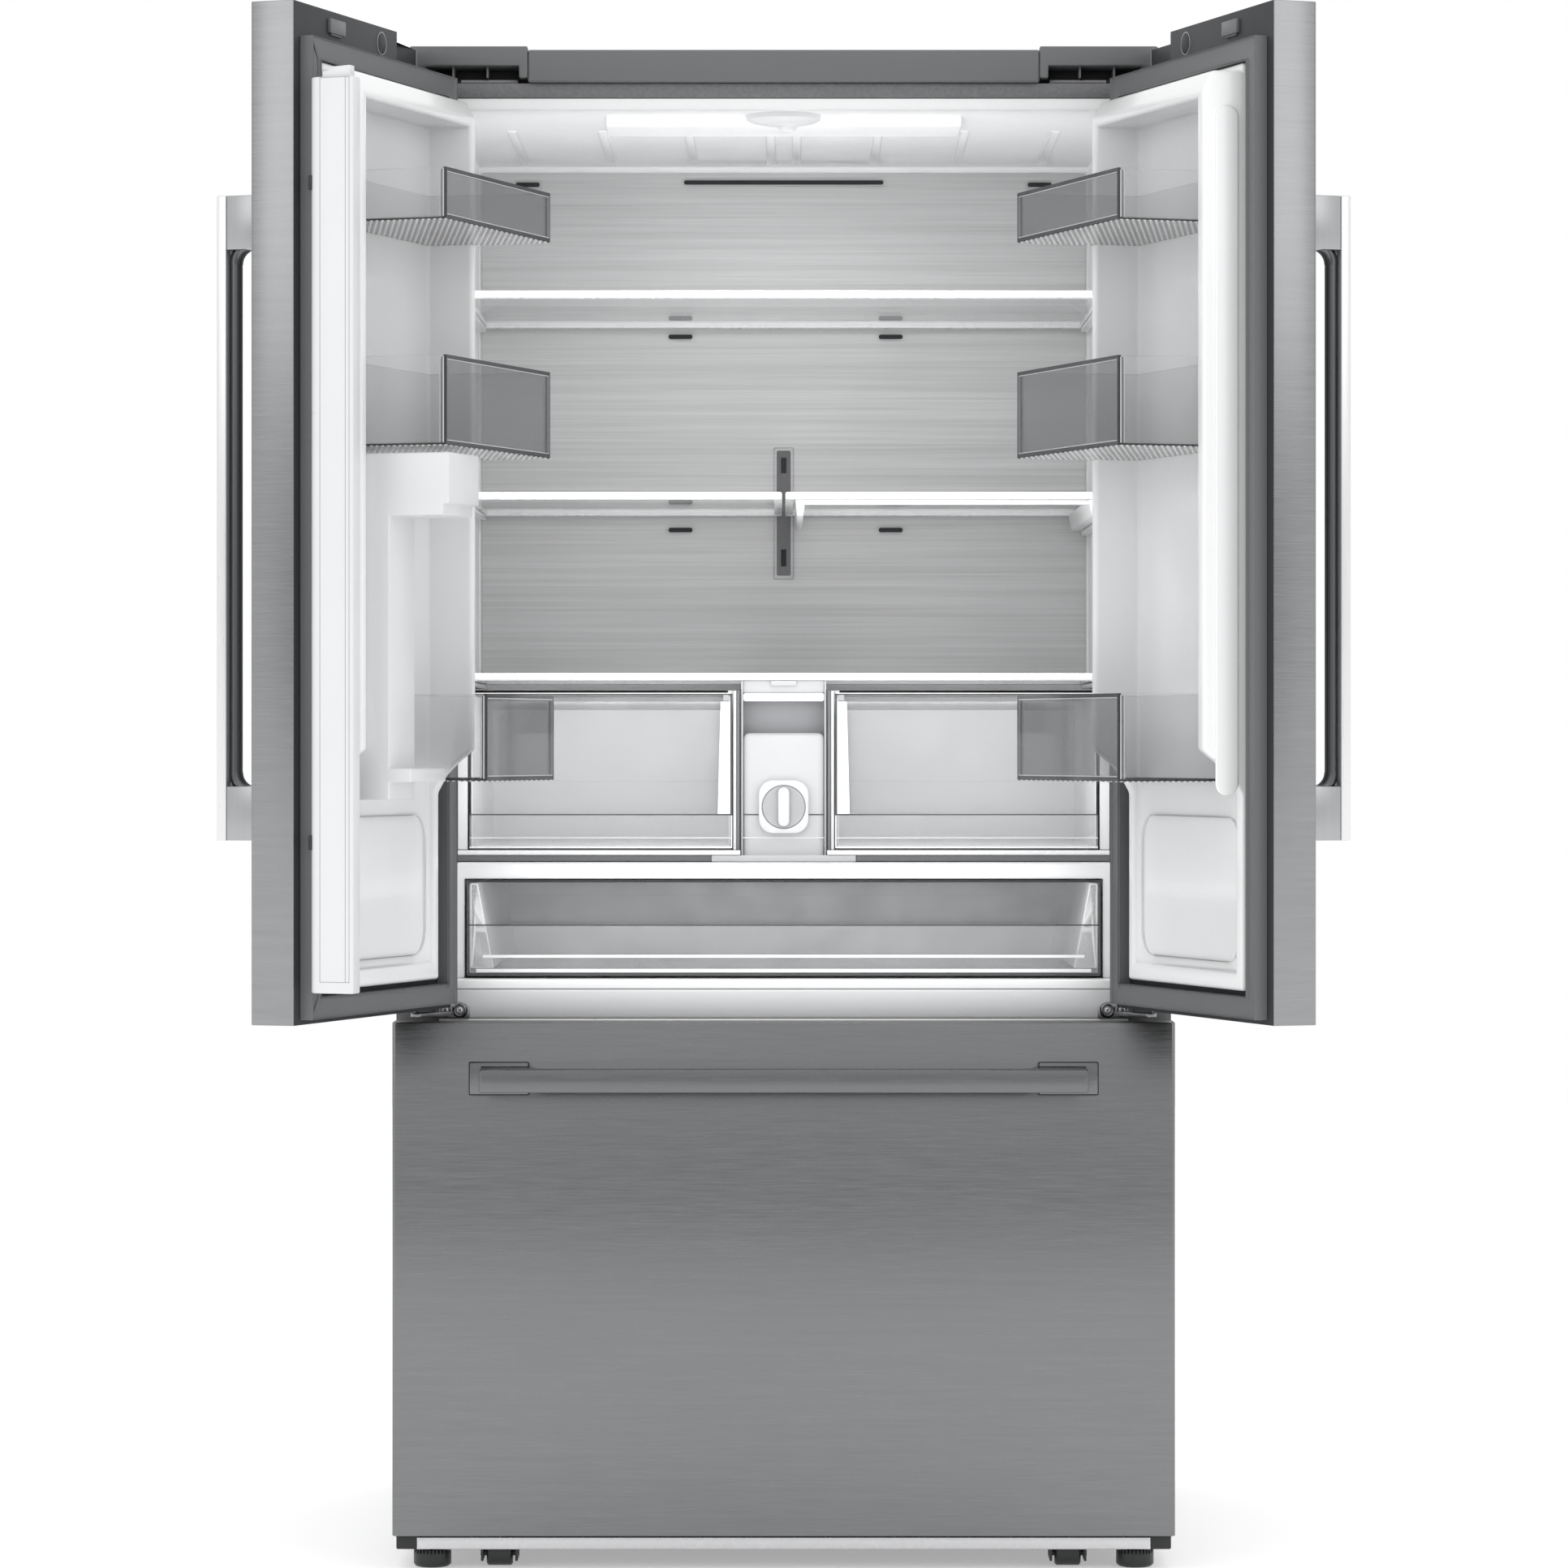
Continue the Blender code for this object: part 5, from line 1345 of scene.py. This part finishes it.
@dataclass
class Pantry(Drawer):
    """The wide drawer under the crispers."""

    # The grey lining is painted shade inside the drawer.
    lined: Finish = PANTRY_SHADE
    rimmed: Finish = FROSTED_RIM
    rim_size: tuple[float, float, float] = (0.0026, 0.0040, 0.0006)
    rear_drop: float = 0.012
    grip: float = 0.748
    cheek_top: float = 0.009
    cheek_foot: float = 0.028

    def front(self, box: Extent) -> None:
        """The grip line, the pale and ribbed lower edge, the dark outline and the slanting cheeks.

        Args:
            box: the drawer's extent.
        """
        y, foot = box.low.y, box.low.z
        x0, x1 = box.low.x + self.inset, box.high.x - self.inset
        dark, pale, cheeks = Shape(), Shape(), Shape()
        self.line(dark, y, (x0, x1), (self.grip - 0.0008, self.grip + 0.0008), 0.0013)
        self.line(dark, y, (x0, x1), (foot + 0.0002, foot + 0.0034), 0.0013, 0.0004)
        for side in (-1, 1):
            self.line(dark, y, (side * (box.high.x - 0.0030), side * (box.high.x - 0.0006)),
                      (foot + 0.002, box.high.z - 0.002), 0.0013, 0.0004)
        dark.piece("pantry_dark_lines", self.body, FROSTED_RIM)
        self.line(pale, y, (x0 + 0.010, x1 - 0.010), (foot + 0.0042, foot + 0.0085), 0.0018, 0.0008)
        self.line(pale, y, (x0 + 0.018, x1 - 0.018), (foot + 0.0215, foot + 0.0250), 0.0012, 0.0006)
        pale.piece("pantry_pale_lines", self.body, RIM_WHITE)
        lip = Shape().block((x0 + 0.003, y - 0.0007, foot + 0.004),
                            (x1 - 0.003, y - 0.0002, self.grip - 0.001), 0.0002)
        lip.piece("pantry_lip", self.body, LIP_CLEAR)
        for side in (-1, 1):
            x = side * (box.high.x - 0.0042)
            cheeks.prism([(x, box.low.z + 0.009), (x, box.high.z - 0.004),
                          (x - side * self.cheek_top, box.high.z - 0.004),
                          (x - side * self.cheek_foot, box.low.z + 0.009)], Along.Y, y + 0.006,
                         box.high.y - 0.008, 0.0015)
        cheeks.piece("pantry_cheeks", self.body, WHITE_PLASTIC)


@dataclass
class CrisperBay:
    """What is fixed round the crispers: the rail under them, and the guide rails beside them with a dark
    strip in each gap, which is painted shade.
    """

    block_half: float = 0.087
    # width of the dark strip of painted shade in each gap
    guide: float = 0.0036

    def build(self) -> None:
        """Makes the rail, its band of painted shade, its centre block, the dark strips of painted shade in
        the gaps and the guide rails.
        """
        crisper, housing = Extent.of("crisper_right"), Extent.of("filter_housing")
        surround, cover = Extent.of("pantry_frame"), Extent.of("crisper_cover")
        y, low = crisper.low.y, crisper.low.z
        rail, band, block, gap_shades, slots = Shape(), Shape(), Shape(), Shape(), Shape()
        end = surround.high.x - 0.001
        for side in (-1, 1):
            rail.block((side * (housing.high.x + 0.001), y - 0.0022, low - 0.0064),
                       (side * end, y + 0.010, low - 0.0008), 0.0008)
            # A dark band under the rail: painted shade in the gap below the crispers.
            band.block((side * self.block_half, y + 0.0005, low - 0.0140),
                       (side * end, y + 0.010, low - 0.0066), 0.0004)
            # A dark strip set back in the gap beside the housing: painted shade.
            x = housing.high.x + 0.0018
            gap_shades.block((side * x, y + 0.003, low),
                         (side * (x + self.guide), y + 0.014, crisper.high.z), 0.0004)
            slots.block((side * (crisper.high.x + 0.0010), y + 0.002, low),
                        (side * end, y + 0.014, crisper.high.z), 0.0008)
            slots.block((side * (x + self.guide + 0.0004), y + 0.004, low),
                        (side * (crisper.low.x - 0.0006), y + 0.016, crisper.high.z), 0.0004)
        block.block((-self.block_half + 0.0005, y - 0.0006, low - 0.0145),
                    (self.block_half - 0.0005, y + 0.012, low - 0.0068), 0.0008)
        block.block((-0.0155, cover.low.y - 0.0004, cover.low.z - 0.0062),
                    (0.0155, cover.low.y + 0.010, cover.low.z - SKIN), 0.0010)
        rail.piece("crisper_rail", "cabinet", RIM_WHITE)
        band.piece("crisper_rail_band", "cabinet", SHADE_PLASTIC)
        block.piece("crisper_rail_block", "cabinet", SHADED_HOUSING_WHITE)
        gap_shades.piece("crisper_gap_shades", "cabinet", SHADE_PLASTIC)
        slots.piece("crisper_guide_rails", "cabinet", BRIGHT_PLASTIC)


@dataclass
class FilterUnit:
    """The housing between the crispers: a recess, a bright lip, a bezel and the round filter cap."""

    grip_half: float = 0.0068
    cheek: float = 0.0022
    recess: tuple[float, float] = (0.9745, 1.0125)
    recess_depth: float = 0.030
    lip_top: float = 1.0225
    bezel: tuple[float, float] = (0.0298, 0.0318)
    bezel_corner: float = 0.017
    seam_height: float = 0.8760
    line_height: float = 0.8484

    def build(self) -> None:
        """Makes the housing, the bezel and the cap."""
        box, knob = Extent.of("filter_housing"), Extent.of("filter_knob")
        centre = (knob.low + knob.high) / 2
        face = box.low.y + 0.010
        self.housing(box, face)
        bezel = Shape()
        half_x, half_z = self.bezel
        outer = rounded(centre.x - half_x, centre.z - half_z, centre.x + half_x, centre.z + half_z,
                        self.bezel_corner, 11)
        r = (knob.high.x - knob.low.x) / 2 + 0.0006
        hole = [(centre.x + r * cos(2 * pi * i / 48), centre.z + r * sin(2 * pi * i / 48))
                for i in range(-6, 42)]
        bezel.frame(outer, hole, Along.Y, box.low.y, face + 0.0005, 0.0030)
        bezel.piece("filter_bezel", "cabinet", HANDLE_WHITE)
        self.cap(knob, centre)

    def housing(self, box: Extent, face: float) -> None:
        """The housing's body, with its recess under a bright lip; the recess's back is darkened as painted
        shade.

        Args:
            box: the CAD housing's extent.
            face: Y of its flat front.
        """
        low, high = self.recess
        inner = box.high.x - self.cheek
        body = Shape()
        body.block((-inner, face, box.low.z), (inner, box.high.y, low), 0.0080, 4)
        for side in (-1, 1):
            body.block((side * inner, face - 0.001, box.low.z),
                       (side * box.high.x, box.high.y, box.high.z), 0.0008)
        body.block((-inner, face + 0.004, self.lip_top), (inner, box.high.y, box.high.z), 0.0012)
        body.piece("filter_housing_body", "cabinet", SHADED_HOUSING_WHITE, ["filter_housing"])
        # The recess's back is dark grey: painted shade.
        back = Shape()
        back.block((-inner, face + self.recess_depth, low - 0.010),
                   (inner, box.high.y - 0.002, self.lip_top), 0.0004)
        back.piece("filter_recess_back", "cabinet", RECESS_SHADE)
        lip = Shape().block((-inner, face - 0.0005, high), (inner, face + 0.014, self.lip_top), 0.0030, 4)
        lip.piece("filter_recess_lip", "cabinet", RIM_WHITE)
        seams = Shape()
        for side in (-1, 1):
            seams.block((side * (box.high.x - 0.0004), face - 0.0014, box.low.z + 0.004),
                        (side * (box.high.x + 0.0012), face + 0.004, box.high.z - 0.010), 0.0003)
        seams.block((-inner, face - 0.0008, self.seam_height),
                    (inner, face - 0.0001, self.seam_height + 0.0014), 0.0003)
        seams.piece("filter_housing_edges", "cabinet", FROSTED_RIM)
        line = Shape().block((-inner, face - 0.0008, self.line_height),
                             (inner, face - 0.0001, self.line_height + 0.0011), 0.0003)
        line.piece("filter_housing_line", "cabinet", RIM_WHITE)

    def cap(self, knob: Extent, centre: Vector) -> None:
        """The filter's round cap: a shallow dish with an upright grip.

        Args:
            knob: the CAD knob's extent.
            centre: its middle.
        """
        r, deep = (knob.high.x - knob.low.x) / 2, knob.high.y - knob.low.y
        cap = Shape()
        cap.turned([(0, 0), (r, 0), (r, -deep * 0.40), (r - 0.0012, -deep * 0.46),
                    (r - 0.003, -deep * 0.40), (r * 0.75, -deep * 0.16), (r * 0.35, -deep * 0.08),
                    (0, -deep * 0.08)],
                   (centre.x, knob.high.y, centre.z), Along.Y, 48)
        cap.piece("filter_cap", "filter", SHADED_DISH_WHITE, ["filter_knob"])
        g = self.grip_half
        grip = Shape().prism(rounded(-g, centre.z - r + 0.002, g, centre.z + r - 0.002, g * 0.95), Along.Y,
                             knob.low.y, knob.high.y - deep * 0.05, 0.0022, 3, 50)
        grip.piece("filter_grip", "filter", HANDLE_WHITE)


# ---- the doors --------------------------------------------------------------------------------
@dataclass
class Gasket:
    """A magnetic gasket: a flat foot with round bellows, as ridges about a rectangle."""

    node: str
    body: str
    matrix: Matrix
    out: int = 1
    steps: tuple[tuple[float, float], ...] = ((0.0016, -0.0004), (0.0022, -0.0022), (0.0016, 0.0020),
                                              (0.0010, 0.0003), (0.0016, -0.0024), (0.0012, 0.0))

    def build(self) -> None:
        """Makes the ring with its ridges."""
        shape = Shape()
        inverse = self.matrix.inverted()

        def ridge(part: bmesh.types.BMesh) -> None:
            """Insets the face that shows, again and again, with a rise or a fall each time."""
            part.transform(inverse)
            part.normal_update()
            front = max(f.calc_center_median().y for f in part.faces if abs(f.normal.y) > 0.9)
            for wide, rise in self.steps:
                faces = [f for f in part.faces if f.select or (f.normal.y > 0.9 and abs(
                    f.calc_center_median().y - front) < 2e-4)]
                bmesh.ops.inset_region(part, faces=faces, thickness=wide, depth=rise,
                                       use_even_offset=True, use_boundary=True)
                front += rise
            part.transform(self.matrix)

        shape.copy(self.node, 0.0, edit=ridge)
        shape.piece(f"{self.node}_bellows", self.body, GASKET_GREY, [self.node])


@dataclass
class DoorBin:
    """A smoked door bin: clear walls, a ribbed base and a dark frame round its front pane."""

    node: str
    body: str
    matrix: Matrix
    side: int
    rim: float = 0.0040
    edge: float = 0.0024
    proud: float = 0.0007

    def build(self) -> None:
        """Makes the walls, the front pane's frame, the corner posts and the base."""
        box = Extent.of(self.node, self.matrix.inverted())
        walls = Shape().copy(self.node, 0.0016, 2)
        self.thin(walls.bm)
        walls.piece(f"{self.node}_walls", self.body, SMOKED, [self.node])
        outline = self.outline()
        dark, light = Shape(self.matrix), Shape(self.matrix)
        x0, x1, y, z0, z1 = box.low.x, box.high.x, box.high.y, box.low.z, box.high.z
        dark.frame(self.loop(x0, x1, z0, z1, 0.0), self.loop(x0, x1, z0, z1, 1.0), Along.Y, y + self.proud,
                   y - 0.003)
        dark.ring(outline, Along.Z, z0 - SKIN, z0 + 0.0020, 0.0024, 0.0004)
        # The pale lines in the rim and on the posts are painted highlights.
        light.frame(self.loop(x0, x1, z0, z1, 1.05), self.loop(x0, x1, z0, z1, 1.32), Along.Y,
                    y + self.proud * 0.6, y - 0.002)
        for x, way in ((x0, -1), (x1, 1)):
            self.post(dark, x, way, y, (z0, z1), (0.0, 0.0016))
            self.post(light, x, way, y, (z0 + 0.002, z1 - 0.002), (0.0020, 0.0036))
            self.post(dark, x, way, y, (z0, z1 - 0.002), (0.0040, 0.0048))
            self.post(light, x, way, y, (z0 + 0.002, z1 - 0.004), (0.0064, 0.0070))
        dark.piece(f"{self.node}_rims", self.body, SMOKED_RIM)
        light.piece(f"{self.node}_glint_lines", self.body, SMOKED_GLINT)
        pane = Shape(self.matrix).block((x0 + 0.002, y + 0.0001, z0 + 0.002),
                                        (x1 - 0.002, y + 0.0004, z1 - 0.002), 0.0)
        pane.piece(f"{self.node}_front_pane", self.body, SMOKED_FRONT)
        base = Shape(self.matrix)
        base.prism(outline, Along.Z, z0 - 0.0012, z0 - 0.0002)
        base.piece(f"{self.node}_base", self.body, LEFT_RIBS if self.side < 0 else RIGHT_RIBS)

    def thin(self, part: bmesh.types.BMesh) -> None:
        """Leaves only the outer faces, so that light passes each clear wall once.

        Args:
            part: the bin's merged shape.
        """
        part.normal_update()
        tree = BVHTree.FromBMesh(part)
        floor = min(v.co.z for v in part.verts) + 0.02
        inner = []
        for face in part.faces:
            at = face.calc_center_median() + face.normal * 1e-4
            hit = tree.ray_cast(at, face.normal)[0]
            if hit is not None or (face.normal.z > 0.9 and at.z < floor):
                inner.append(face)
        bmesh.ops.delete(part, geom=inner, context="FACES")

    def loop(self, x0: float, x1: float, z0: float, z1: float, share: float) -> Outline:
        """The front pane's outline, moved in by a share of the frame's widths."""
        side, tall = self.edge * share, self.rim * share
        x0, x1, z0, z1 = x0 + side, x1 - side, z0 + tall, z1 - tall
        return [(x0, z0), (x1, z0), (x1, z1), (x0, z1)]

    def post(self, shape: Shape, x: float, way: int, y: float, rise: tuple[float, float],
             span: tuple[float, float]) -> None:
        """A thin upright on a side wall beside the front pane.

        Args:
            shape: where it is added.
            x: the wall's outer face.
            way: 1 where the wall faces +X, and -1 where it faces -X.
            y: the front pane's outer face.
            rise: its foot and its top.
            span: how far behind the front it starts and ends.
        """
        shape.block((x - way * 0.0010, y - span[1], rise[0]),
                    (x + way * self.proud, y - span[0], rise[1]), 0.0)

    def outline(self) -> Outline:
        """The bin's plan: narrow between the dikes and wide before them, read from its points."""
        part = merged(self.node, self.matrix.inverted())
        part.normal_update()
        floor = min((f for f in part.faces if f.normal.z < -0.9), key=lambda f: f.calc_center_median().z)
        points = [(v.co.x, v.co.y) for v in floor.verts]
        part.free()
        return points


@dataclass
class Door:
    """One door with everything that swings with it."""

    name: str
    side: int
    plate: float = 0.0118
    post: float = 0.060
    rod: float = 0.0072
    plug: float = 0.012
    plug_place: float = 0.206
    panel: tuple[float, float] = (0.095, 0.372)
    panel_top: float = 0.880
    bead: tuple[float, float] = (0.905, 1.662)

    def __post_init__(self) -> None:
        """Works out how the closed door turns to where it rests."""
        joint = next(j for j in frame["joints"] if j["name"] == f"door_{self.name}_hinge")
        pin = Vector(joint.get("pos_m") or joint["pos"])
        turn = Matrix.Rotation(-radians(joint["range_deg"][0]), 4, Vector(joint["axis"]))
        self.matrix = Matrix.Translation(pin) @ turn @ Matrix.Translation(-pin)
        self.body = f"door_{self.name}"
        self.skin = Extent.of(f"door_{self.name}_skin", self.matrix.inverted())
        self.inner = self.skin.high.y
        self.half = Extent.of("drawer_skin").high.x

    def x(self, u: float) -> float:
        """X of a point at u from the hinge side, with the door closed."""
        return self.side * (self.half - u)

    def shape(self) -> Shape:
        """An empty shape whose parts are drawn on the closed door."""
        return Shape(self.matrix)

    def build(self) -> None:
        """Makes the whole door."""
        n = self.body
        soft_copy(f"{n}_skin", n, FRONT_STEEL, 0.0014, 3)
        soft_copy(f"{n}_core", n, CAP_PLASTIC, 0.0012)
        soft_copy(f"{n}_liner", n, WHITE_PLASTIC, 0.0085, 4)
        Gasket(f"{n}_gasket", n, self.matrix).build()
        self.handle()
        self.cap()
        self.panels()
        for place in ("top", "middle", "bottom"):
            DoorBin(f"{n}_bin_{place}", n, self.matrix, self.side).build()

    def handle(self) -> None:
        """The bar handle: a flat front plate and end posts, and a round rod bent into the door."""
        node = f"{self.body}_handle"
        box = Extent.of(node, self.matrix.inverted())
        x0, x1, z0, z1 = box.low.x, box.high.x, box.low.z, box.high.z
        mid, deep = (x0 + x1) / 2, box.low.y + self.plate
        # The front plate's lighter steel is a painted highlight.
        plate = self.shape()
        plate.block((x0, box.low.y, z0), (x1, deep, z1), 0.0012, 3)
        plate.piece(f"{node}_plate", self.body, LIT_PLATE_STEEL, [node])
        # The posts' darker steel is painted shade.
        posts = self.shape()
        for a, b in ((z0, z0 + self.post), (z1 - self.post, z1)):
            posts.block((x0 + SKIN, deep + SKIN, a + 0.0002),
                        (x1 - SKIN, box.high.y, b - 0.0002), 0.0010)
        posts.piece(f"{node}_posts", self.body, SHADED_POST_STEEL)
        # The rod's darker steel is painted shade and reflection.
        rod = self.shape()
        y, r, bend = deep + self.rod - 0.0012, self.rod, self.rod + 0.0155
        low, high = z0 + self.post + bend - self.rod, z1 - self.post - bend + self.rod
        rod.turned([(0, low), (r, low), (r, high), (0, high)], (mid, y, 0), Along.Z, 28)
        rod.elbow((mid, y, high), (mid, y + bend, high), (-1, 0, 0), 90, r + 0.0004)
        rod.elbow((mid, y, low), (mid, y + bend, low), (1, 0, 0), 90, r + 0.0004)
        for z in (low - bend, high + bend):
            rod.turned([(0, y + bend), (r, y + bend), (r, box.high.y), (0, box.high.y)], (mid, 0, z),
                       Along.Y, 28)
        rod.piece(f"{node}_rod", self.body, SHADED_ROD_STEEL)
        screw = self.shape()
        edge = x0 if self.side > 0 else x1
        screw.turned([(0, 0.0004), (0.0030, 0.0004), (0.0030, -0.0006), (0, -0.0006)],
                     (edge, box.high.y - 0.0035, z1 - 0.032), Along.X, 20)
        screw.piece(f"{node}_screw", self.body, HOLLOW_SHADE)

    def cap(self) -> None:
        """The clip and the round plug on the inner face of the door's upper end."""
        y = self.inner
        top = self.skin.high.z
        clip = self.shape()
        clip.block((self.x(0.316), y - 0.001, top - 0.0250),
                   (self.x(0.358), y + 0.0042, top - 0.0085), 0.0014)
        clip.block((self.x(0.322), y - 0.001, top - 0.0270),
                   (self.x(0.352), y + 0.0022, top - 0.0235), 0.001)
        clip.piece(f"{self.body}_clip", self.body, DARK_PLASTIC)
        plug = self.shape()
        r, centre = self.plug, (self.x(self.plug_place), y, top - 0.0185)
        plug.turned([(0, 0.0009), (r * 0.9, 0.0009), (r, 0.0002), (r, -0.001), (0, -0.001)],
                    centre, Along.Y, 36)
        plug.piece(f"{self.body}_plug", self.body, CAP_PLASTIC)
        groove = self.shape()
        groove.turned([(r + 0.0001, 0.0003), (r + 0.0011, 0.0003), (r + 0.0011, -0.0003),
                       (r + 0.0001, -0.0003), (r + 0.0001, 0.0003)], centre, Along.Y, 36)
        groove.piece(f"{self.body}_plug_groove", self.body, SEAM_GREY)

    def panels(self) -> None:
        """The raised panels moulded in the lower and the upper field of the liner."""
        liner = Extent.of(f"{self.body}_liner", self.matrix.inverted())
        y = self.inner + 0.0122
        low = self.shape()
        a, b = sorted(self.x(u) for u in self.panel)
        low.ring(rounded(a, liner.low.z + 0.030, b, self.panel_top, 0.030, 8), Along.Y,
                 self.inner + 0.0040, y - 0.0045, 0.006, 0.0015)
        low.piece(f"{self.body}_panel_bead", self.body, WHITE_PLASTIC)
        if self.side > 0:
            bead = self.shape()
            x = liner.low.x
            foot, head = self.bead
            bead.prism(rounded(self.inner + 0.0170, foot, self.inner + 0.0440, head, 0.013, 6), Along.X,
                       x - 0.0024, x + 0.001, 0.0018, 4, 50)
            bead.piece(f"{self.body}_dike_bead", self.body, WHITE_PLASTIC)


@dataclass
class IceMaker:
    """The ice and water unit of the left door."""

    door: Door

    def build(self) -> None:
        """Makes the unit and the small slot in its side."""
        soft_copy("ice_maker", self.door.body, BRIGHT_PLASTIC, 0.0022, 3)
        box = Extent.of("ice_maker", self.door.matrix.inverted())
        slot = self.door.shape()
        x = box.high.x if self.door.side < 0 else box.low.x
        slot.block((x - 0.0005, box.low.y + 0.036, box.high.z - 0.0705),
                   (x + 0.0006 * -self.door.side, box.low.y + 0.048, box.high.z - 0.0690), 0.0004)
        slot.piece("ice_maker_slot", self.door.body, SEAM_GREY)


@dataclass
class CentreFlap:
    """The folding strip on the left door, with its knob, seams and latches."""

    door: Door
    seam: float = 0.0007
    seams: tuple[float, ...] = (0.013, 0.043, 0.0475)
    latches: tuple[float, ...] = (1.573, 0.854)
    knob: float = 0.0125

    def build(self) -> None:
        """Makes the strip, its seams, its latches and its knob."""
        inverse = self.door.matrix.inverted()
        box = Extent.of("mullion_flap", inverse)
        top = box.high.z - self.knob

        def lower(part: bmesh.types.BMesh) -> None:
            """Brings the strip's top down to the foot of its knob."""
            for vert in part.verts:
                vert.co.z = min(vert.co.z, top)

        Shape().copy("mullion_flap", 0.0018, 3, edit=lower).piece("flap_strip", "flap", BRIGHT_PLASTIC,
                                                                  ["mullion_flap"])
        x = box.high.x
        seams = self.door.shape()
        for w in self.seams:
            seams.block((x - 0.0002, box.low.y + w, box.low.z + 0.012),
                        (x + 0.00015, box.low.y + w + self.seam, top - 0.001), 0.0)
        for z in (box.low.z + 0.012, top - 0.0015):
            seams.block((x - 0.0002, box.low.y + 0.013, z),
                        (x + 0.00015, box.low.y + 0.0482, z + self.seam), 0.0)
        seams.piece("flap_seams", "flap", SEAM_GREY)
        latches = self.door.shape()
        for z in self.latches:
            latches.block((x - 0.012, box.low.y - 0.0018, z - 0.008),
                          (x - 0.002, box.low.y + 0.003, z + 0.008), 0.001)
        latches.piece("flap_latches", "flap", BLACK_PLASTIC)
        knobs = self.door.shape()
        mid = (box.low.x + box.high.x) / 2
        knobs.prism([(box.low.y + 0.0145, top - 0.001), (box.low.y + 0.0475, top - 0.001),
                     (box.low.y + 0.0475, box.high.z - SKIN), (box.low.y + 0.0240, box.high.z - 0.0015),
                     (box.low.y + 0.0220, box.high.z - 0.0050), (box.low.y + 0.0145, box.high.z - 0.0062)],
                    Along.X, mid - 0.006, mid + 0.006, 0.0008)
        knobs.piece("flap_knobs", "flap", BRIGHT_PLASTIC)


# ---- the freezer drawer -----------------------------------------------------------------------
@dataclass
class FreezerDrawer:
    """The lower front with its bar handle, liner, frame and baskets."""

    plate: float = 0.0696
    plate_rise: tuple[float, float] = (0.0072, 0.0055)

    def build(self) -> None:
        """Makes every piece of the drawer."""
        body = "drawer"
        # The drawer front's darker steel is painted shade.
        soft_copy("drawer_skin", body, SHADED_DRAWER_STEEL, 0.0014, 3)
        soft_copy("drawer_core", body, DARK_PLASTIC, 0.001)
        soft_copy("drawer_liner", body, WHITE_PLASTIC, 0.006, 3)
        soft_copy("drawer_frame", body, PLATED, 0.001)
        Gasket("drawer_gasket", body, Matrix.Identity(4)).build()
        soft_copy("lower_basket", body, WHITE_PLASTIC, 0.0022, 3)
        soft_copy("upper_basket", "freezer_basket", WHITE_PLASTIC, 0.0022, 3)
        self.handle()

    def handle(self) -> None:
        """The bar: round-backed, on two recessed rectangular plates."""
        node = "drawer_handle"
        box = Extent.of(node)
        # The bar's darker steel is painted shade.
        Shape().copy(node, 0.0016, 3).piece(f"{node}_bar", "drawer", SHADED_BAR_STEEL, [node])
        rims = Shape()
        front = Extent.of("drawer_skin").low.y
        low, high = (front - rise for rise in self.plate_rise)
        for side in (-1, 1):
            a, b = sorted((side * box.high.x, side * (box.high.x - self.plate)))
            rims.ring(rounded(a, box.low.z, b, box.high.z, 0.002), Along.Y, low, high, 0.0016, 0.0005)
        rims.piece("handle_plate_rims", "drawer", DARK_STEEL)


# ---- under the case ---------------------------------------------------------------------------
@dataclass
class Undercarriage:
    """The front rail, the levelling feet and the rollers."""

    rib_count: int = 30

    def build(self) -> None:
        """Makes what the refrigerator stands on."""
        rail = Extent.of("toe_rail")
        soft_copy("toe_rail", "cabinet", PLATED, 0.0015, 3)
        ends = Shape()
        for side in (-1, 1):
            ends.block((side * (rail.high.x - 0.002), rail.low.y + 0.002, rail.low.z),
                       (side * (rail.high.x + 0.024), rail.high.y + 0.016, rail.high.z + 0.004), 0.002, 3)
        ends.piece("rail_ends", "cabinet", BLACK_PLASTIC)
        for name in ("left", "right"):
            self.foot(name)
        for node in ("roller_left", "roller_right", "rear_rollers"):
            dress(node, BLACK_PLASTIC)

    def foot(self, name: str) -> None:
        """A ribbed foot.

        Args:
            name: the side's name.
        """
        node = f"foot_{name}"
        box = Extent.of(node)
        soft_copy(node, node, BLACK_PLASTIC, 0.0006)
        centre = (box.low + box.high) / 2
        r = (box.high.x - box.low.x) / 2 - 0.0004
        ribs = Shape()
        for i in range(self.rib_count):
            a = 2 * pi * i / self.rib_count
            ribs.matrix = Matrix.Translation((centre.x, centre.y, 0)) @ Matrix.Rotation(a, 4, "Z")
            ribs.block((r - 0.0012, -0.0010, 0.004), (r + 0.0002, 0.0010, 0.0205), 0.0003, 1)
        ribs.matrix = Matrix.Identity(4)
        ribs.piece(f"{node}_ribs", node, BLACK_PLASTIC)


def main() -> None:
    """Builds the refrigerator from the case inwards, and then the studio."""
    logging.basicConfig(level=logging.INFO, format="%(message)s")
    Case().build()
    Hinges().build()
    Compartment().build()
    CoolingPlate().build()
    for node in ("shelf_top", "shelf_left", "crisper_cover"):
        Shelf(node).build()
    RightShelf("shelf_right").build()
    for name in ("left", "right"):
        Drawer(f"crisper_{name}", f"crisper_{name}").build()
    Pantry("pantry_drawer", "pantry").build()
    soft_copy("pantry_frame", "cabinet", BRIGHT_PLASTIC, 0.002, 3)
    FilterUnit().build()
    CrisperBay().build()
    left, right = Door("left", -1), Door("right", 1)
    for door in (left, right):
        door.build()
    IceMaker(left).build()
    CentreFlap(left).build()
    FreezerDrawer().build()
    Undercarriage().build()
    Studio().build()


if __name__ == "__main__":
    main()
